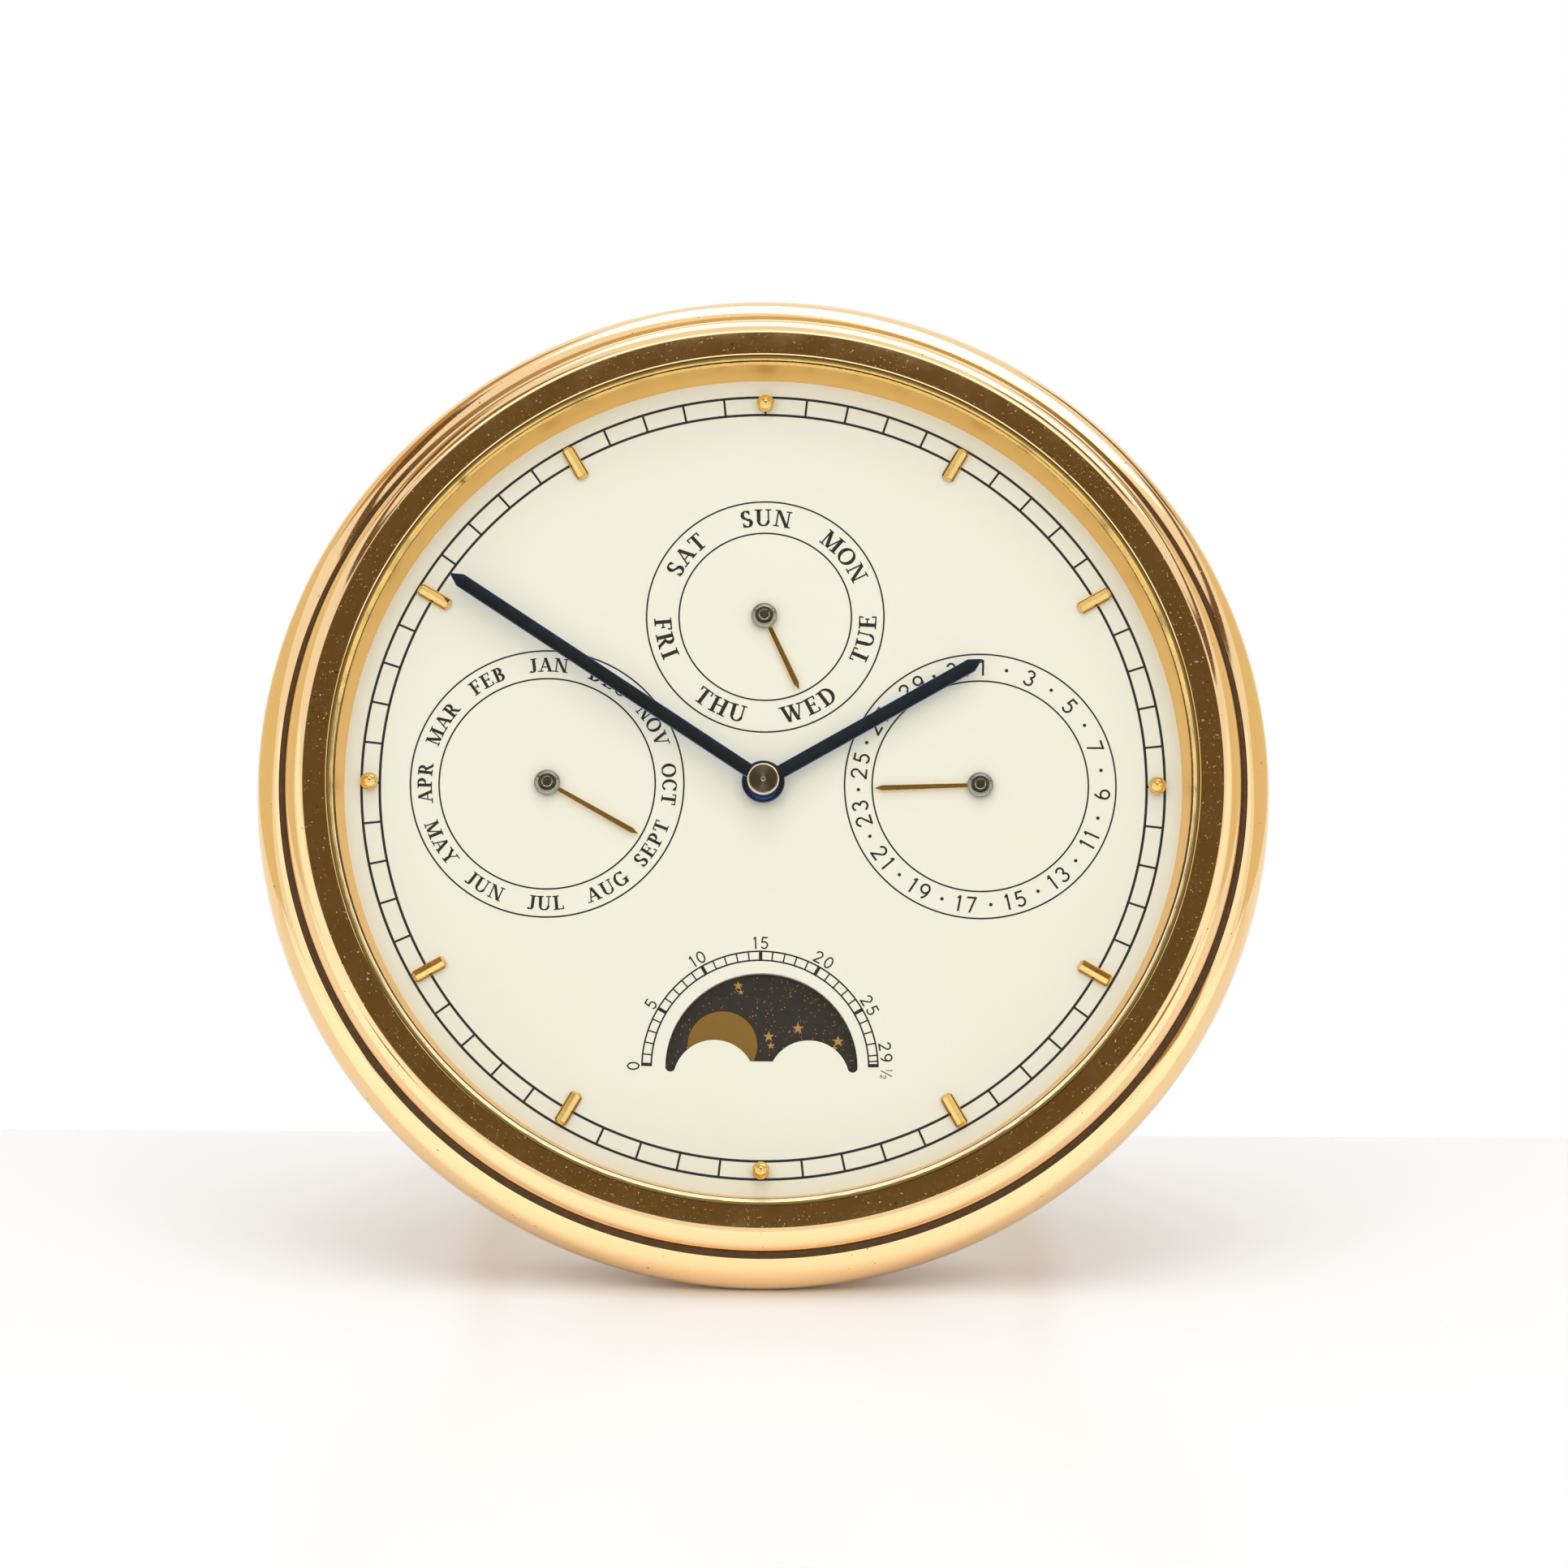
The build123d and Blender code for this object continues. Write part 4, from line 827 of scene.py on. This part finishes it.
# Painted shadow in the reflections: the glow is nil under the clock and full clear of it
UNDER_BEAD, CLEAR_OF_BEAD = -0.0318, -0.0372
TABLE_GLOW = 0.33
clear_table = node(lacquer, "ShaderNodeMapRange", [("Value", table_depth.outputs["Y"])],
                   From_Min=UNDER_BEAD - TABLE_MIDDLE, From_Max=CLEAR_OF_BEAD - TABLE_MIDDLE,
                   To_Min=0.0, To_Max=TABLE_GLOW)
gleam = node(lacquer, "ShaderNodeMath",
             [(0, clear_table.outputs[0]), (1, mirrored.outputs["Is Glossy Ray"])],
             operation="MULTIPLY")
lacquer_shader.inputs["Emission Color"].default_value = colour("#FFFFFF")
join(lacquer, gleam.outputs[0], lacquer_shader, "Emission Strength")

# Room: white all round for what the camera and the metal see, and a plainer level to light the
# clock
world = bpy.data.worlds.new("white_room")
bpy.context.scene.world = world
world.use_nodes = True
walls = world.node_tree.nodes["Background"]
walls.inputs["Color"].default_value = colour("#FFFFFF")
ROOM_LIGHT = 0.82
ray = node(world, "ShaderNodeLightPath")
seen = node(world, "ShaderNodeMath",
            [(0, ray.outputs["Is Camera Ray"]), (1, ray.outputs["Is Glossy Ray"])],
            operation="MAXIMUM")
shown = node(world, "ShaderNodeMath",
             [(0, seen.outputs[0]), (1, ray.outputs["Is Transmission Ray"])],
             operation="MAXIMUM")
level = node(world, "ShaderNodeMapRange", [("Value", shown.outputs[0])],
             To_Min=ROOM_LIGHT, To_Max=1.0)
join(world, level.outputs[0], walls, "Strength")


# Lamps: a soft box on each side and one overhead light the clock; the gilt mirrors the cards below
# and not the lamps
LAMP_SIZE = 0.8


def soft_box(name, place, power):
    """Square lamp turned to the clock."""
    bpy.ops.object.light_add(type="AREA", location=place)
    lamp = bpy.context.object
    lamp.name = name
    lamp.data.shape = "SQUARE"
    lamp.data.size = LAMP_SIZE
    lamp.data.energy = power
    lamp.rotation_euler = (dial_centre - Vector(place)).to_track_quat("-Z", "Y").to_euler()
    lamp.visible_glossy = lamp.visible_transmission = False


soft_box("lamp_left", (-0.6, -1.1, 0.75), 2.1)
soft_box("lamp_right", (0.6, -1.1, 0.75), 1.9)
soft_box("lamp_top", (0, -0.2, 1.3), 3.4)


# Cards that only the polished metal mirrors: a brown one for the flat of the bezel, bright ones in
# front and overhead, cream side walls, and brown and tan patches and a brown rail round the room
# for the dark streaks in the beads
def mirrored_only(sheet, name, base, glow):
    """Glowing sheet that the camera and the light never meet, only the reflections."""
    sheet.name = name
    sheet.visible_camera = sheet.visible_diffuse = sheet.visible_shadow = False
    cloth, shader, _ = finish_named(name + "_cloth", "#000000", roughness=1.0)
    shader.inputs["Emission Color"].default_value = colour(base)
    shader.inputs["Emission Strength"].default_value = glow
    sheet.data.materials.append(cloth)


CARD_DISTANCE = 1.4


def card(name, azimuth, rise, wide, high, base, glow=1.0):
    """Card facing the clock, its place and size in degrees as the clock sees it."""
    turn, lift = math.radians(azimuth), math.radians(rise)
    there = Vector((math.sin(turn) * math.cos(lift), -math.cos(turn) * math.cos(lift),
                    math.sin(lift)))
    bpy.ops.mesh.primitive_plane_add(size=1, location=dial_centre + there * CARD_DISTANCE)
    sheet = bpy.context.object
    sheet.rotation_euler = (-there).to_track_quat("Z", "Y").to_euler()
    sheet.scale = [2 * CARD_DISTANCE * math.tan(math.radians(a) / 2) for a in (wide, high)] + [1]
    mirrored_only(sheet, name, base, glow)


card("brown_card", 0, 35, 27, 18, "#614E2A")
card("bright_strip_above", 0, 53, 30, 9, "#FFFFFF", 2.0)
card("bright_card_left", -44, 14, 46, 34, "#FFFFFF", 1.25)
card("bright_card_right", 44, 14, 46, 34, "#FFFFFF", 1.2)
card("brown_patch_left", -44, 61, 20, 12, "#8A6B42")
card("brown_patch_right", 58, 60, 16, 14, "#7A5C38")
card("side_wall_left", -115, 12, 70, 34, "#EADBB0")
card("side_wall_right", 115, 12, 70, 34, "#EADBB0")
card("white_card_above", 148, 69, 62, 30, "#FFFFFF", 3.0)
card("brown_patch_back_left", -108, 53, 22, 9, "#6D5030")
card("tan_patch_back_left", -138, 39, 32, 15, "#C09C64")
card("brown_patch_back_right", 142, 31, 24, 8, "#7A5C38")
card("brown_patch_low_left", -40, 1, 9, 7, "#8A6B42")
card("brown_patch_low_right", 46, 6, 12, 22, "#B08E5E")

RAIL_RADIUS = 1.6
RAIL_LOW, RAIL_HIGH = 1.42, 1.72
RAIL_GAP = math.radians(28)
RAIL_BACK = math.radians(128)
RAIL_TILT = math.radians(5)
bpy.ops.mesh.primitive_cylinder_add(vertices=90, radius=RAIL_RADIUS, depth=RAIL_HIGH - RAIL_LOW,
                                    location=(0, 0, (RAIL_HIGH + RAIL_LOW) / 2),
                                    end_fill_type="NOTHING")
rail = bpy.context.object
edit(rail)
bpy.ops.mesh.select_all(action="DESELECT")
bpy.ops.object.mode_set(mode="OBJECT")
for face in rail.data.polygons:
    face.select = not RAIL_GAP < abs(math.atan2(face.center.x, -face.center.y)) < RAIL_BACK
bpy.ops.object.mode_set(mode="EDIT")
bpy.ops.mesh.delete(type="FACE")
bpy.ops.object.mode_set(mode="OBJECT")
rail.data.transform(Matrix.Translation(rail.location))
rail.location = (0, 0, 0)
rail.rotation_euler = (0, RAIL_TILT, 0)
mirrored_only(rail, "brown_rail", "#6E5230", 1.0)

# Camera: a long lens a little above the table, aimed at the clock
CAMERA_RISE = math.radians(8.9)
CAMERA_ROLL = math.radians(0.33)
CAMERA_DISTANCE = 0.943
AIM_OFF_CENTRE = (2.05, 0, 0.2)
look = Vector((0, math.cos(CAMERA_RISE), -math.sin(CAMERA_RISE)))
aim = dial_centre + Vector(AIM_OFF_CENTRE) * MM
bpy.ops.object.camera_add(location=aim - look * CAMERA_DISTANCE)
camera = bpy.context.object
camera_turn = look.to_track_quat("-Z", "Y").to_matrix() @ Matrix.Rotation(CAMERA_ROLL, 3, "Z")
camera.rotation_euler = camera_turn.to_euler()
camera.data.lens = 219.5
camera.data.sensor_width = 36
camera.data.clip_start = 0.01
bpy.context.scene.camera = camera
bpy.context.scene.view_settings.view_transform = "Standard"
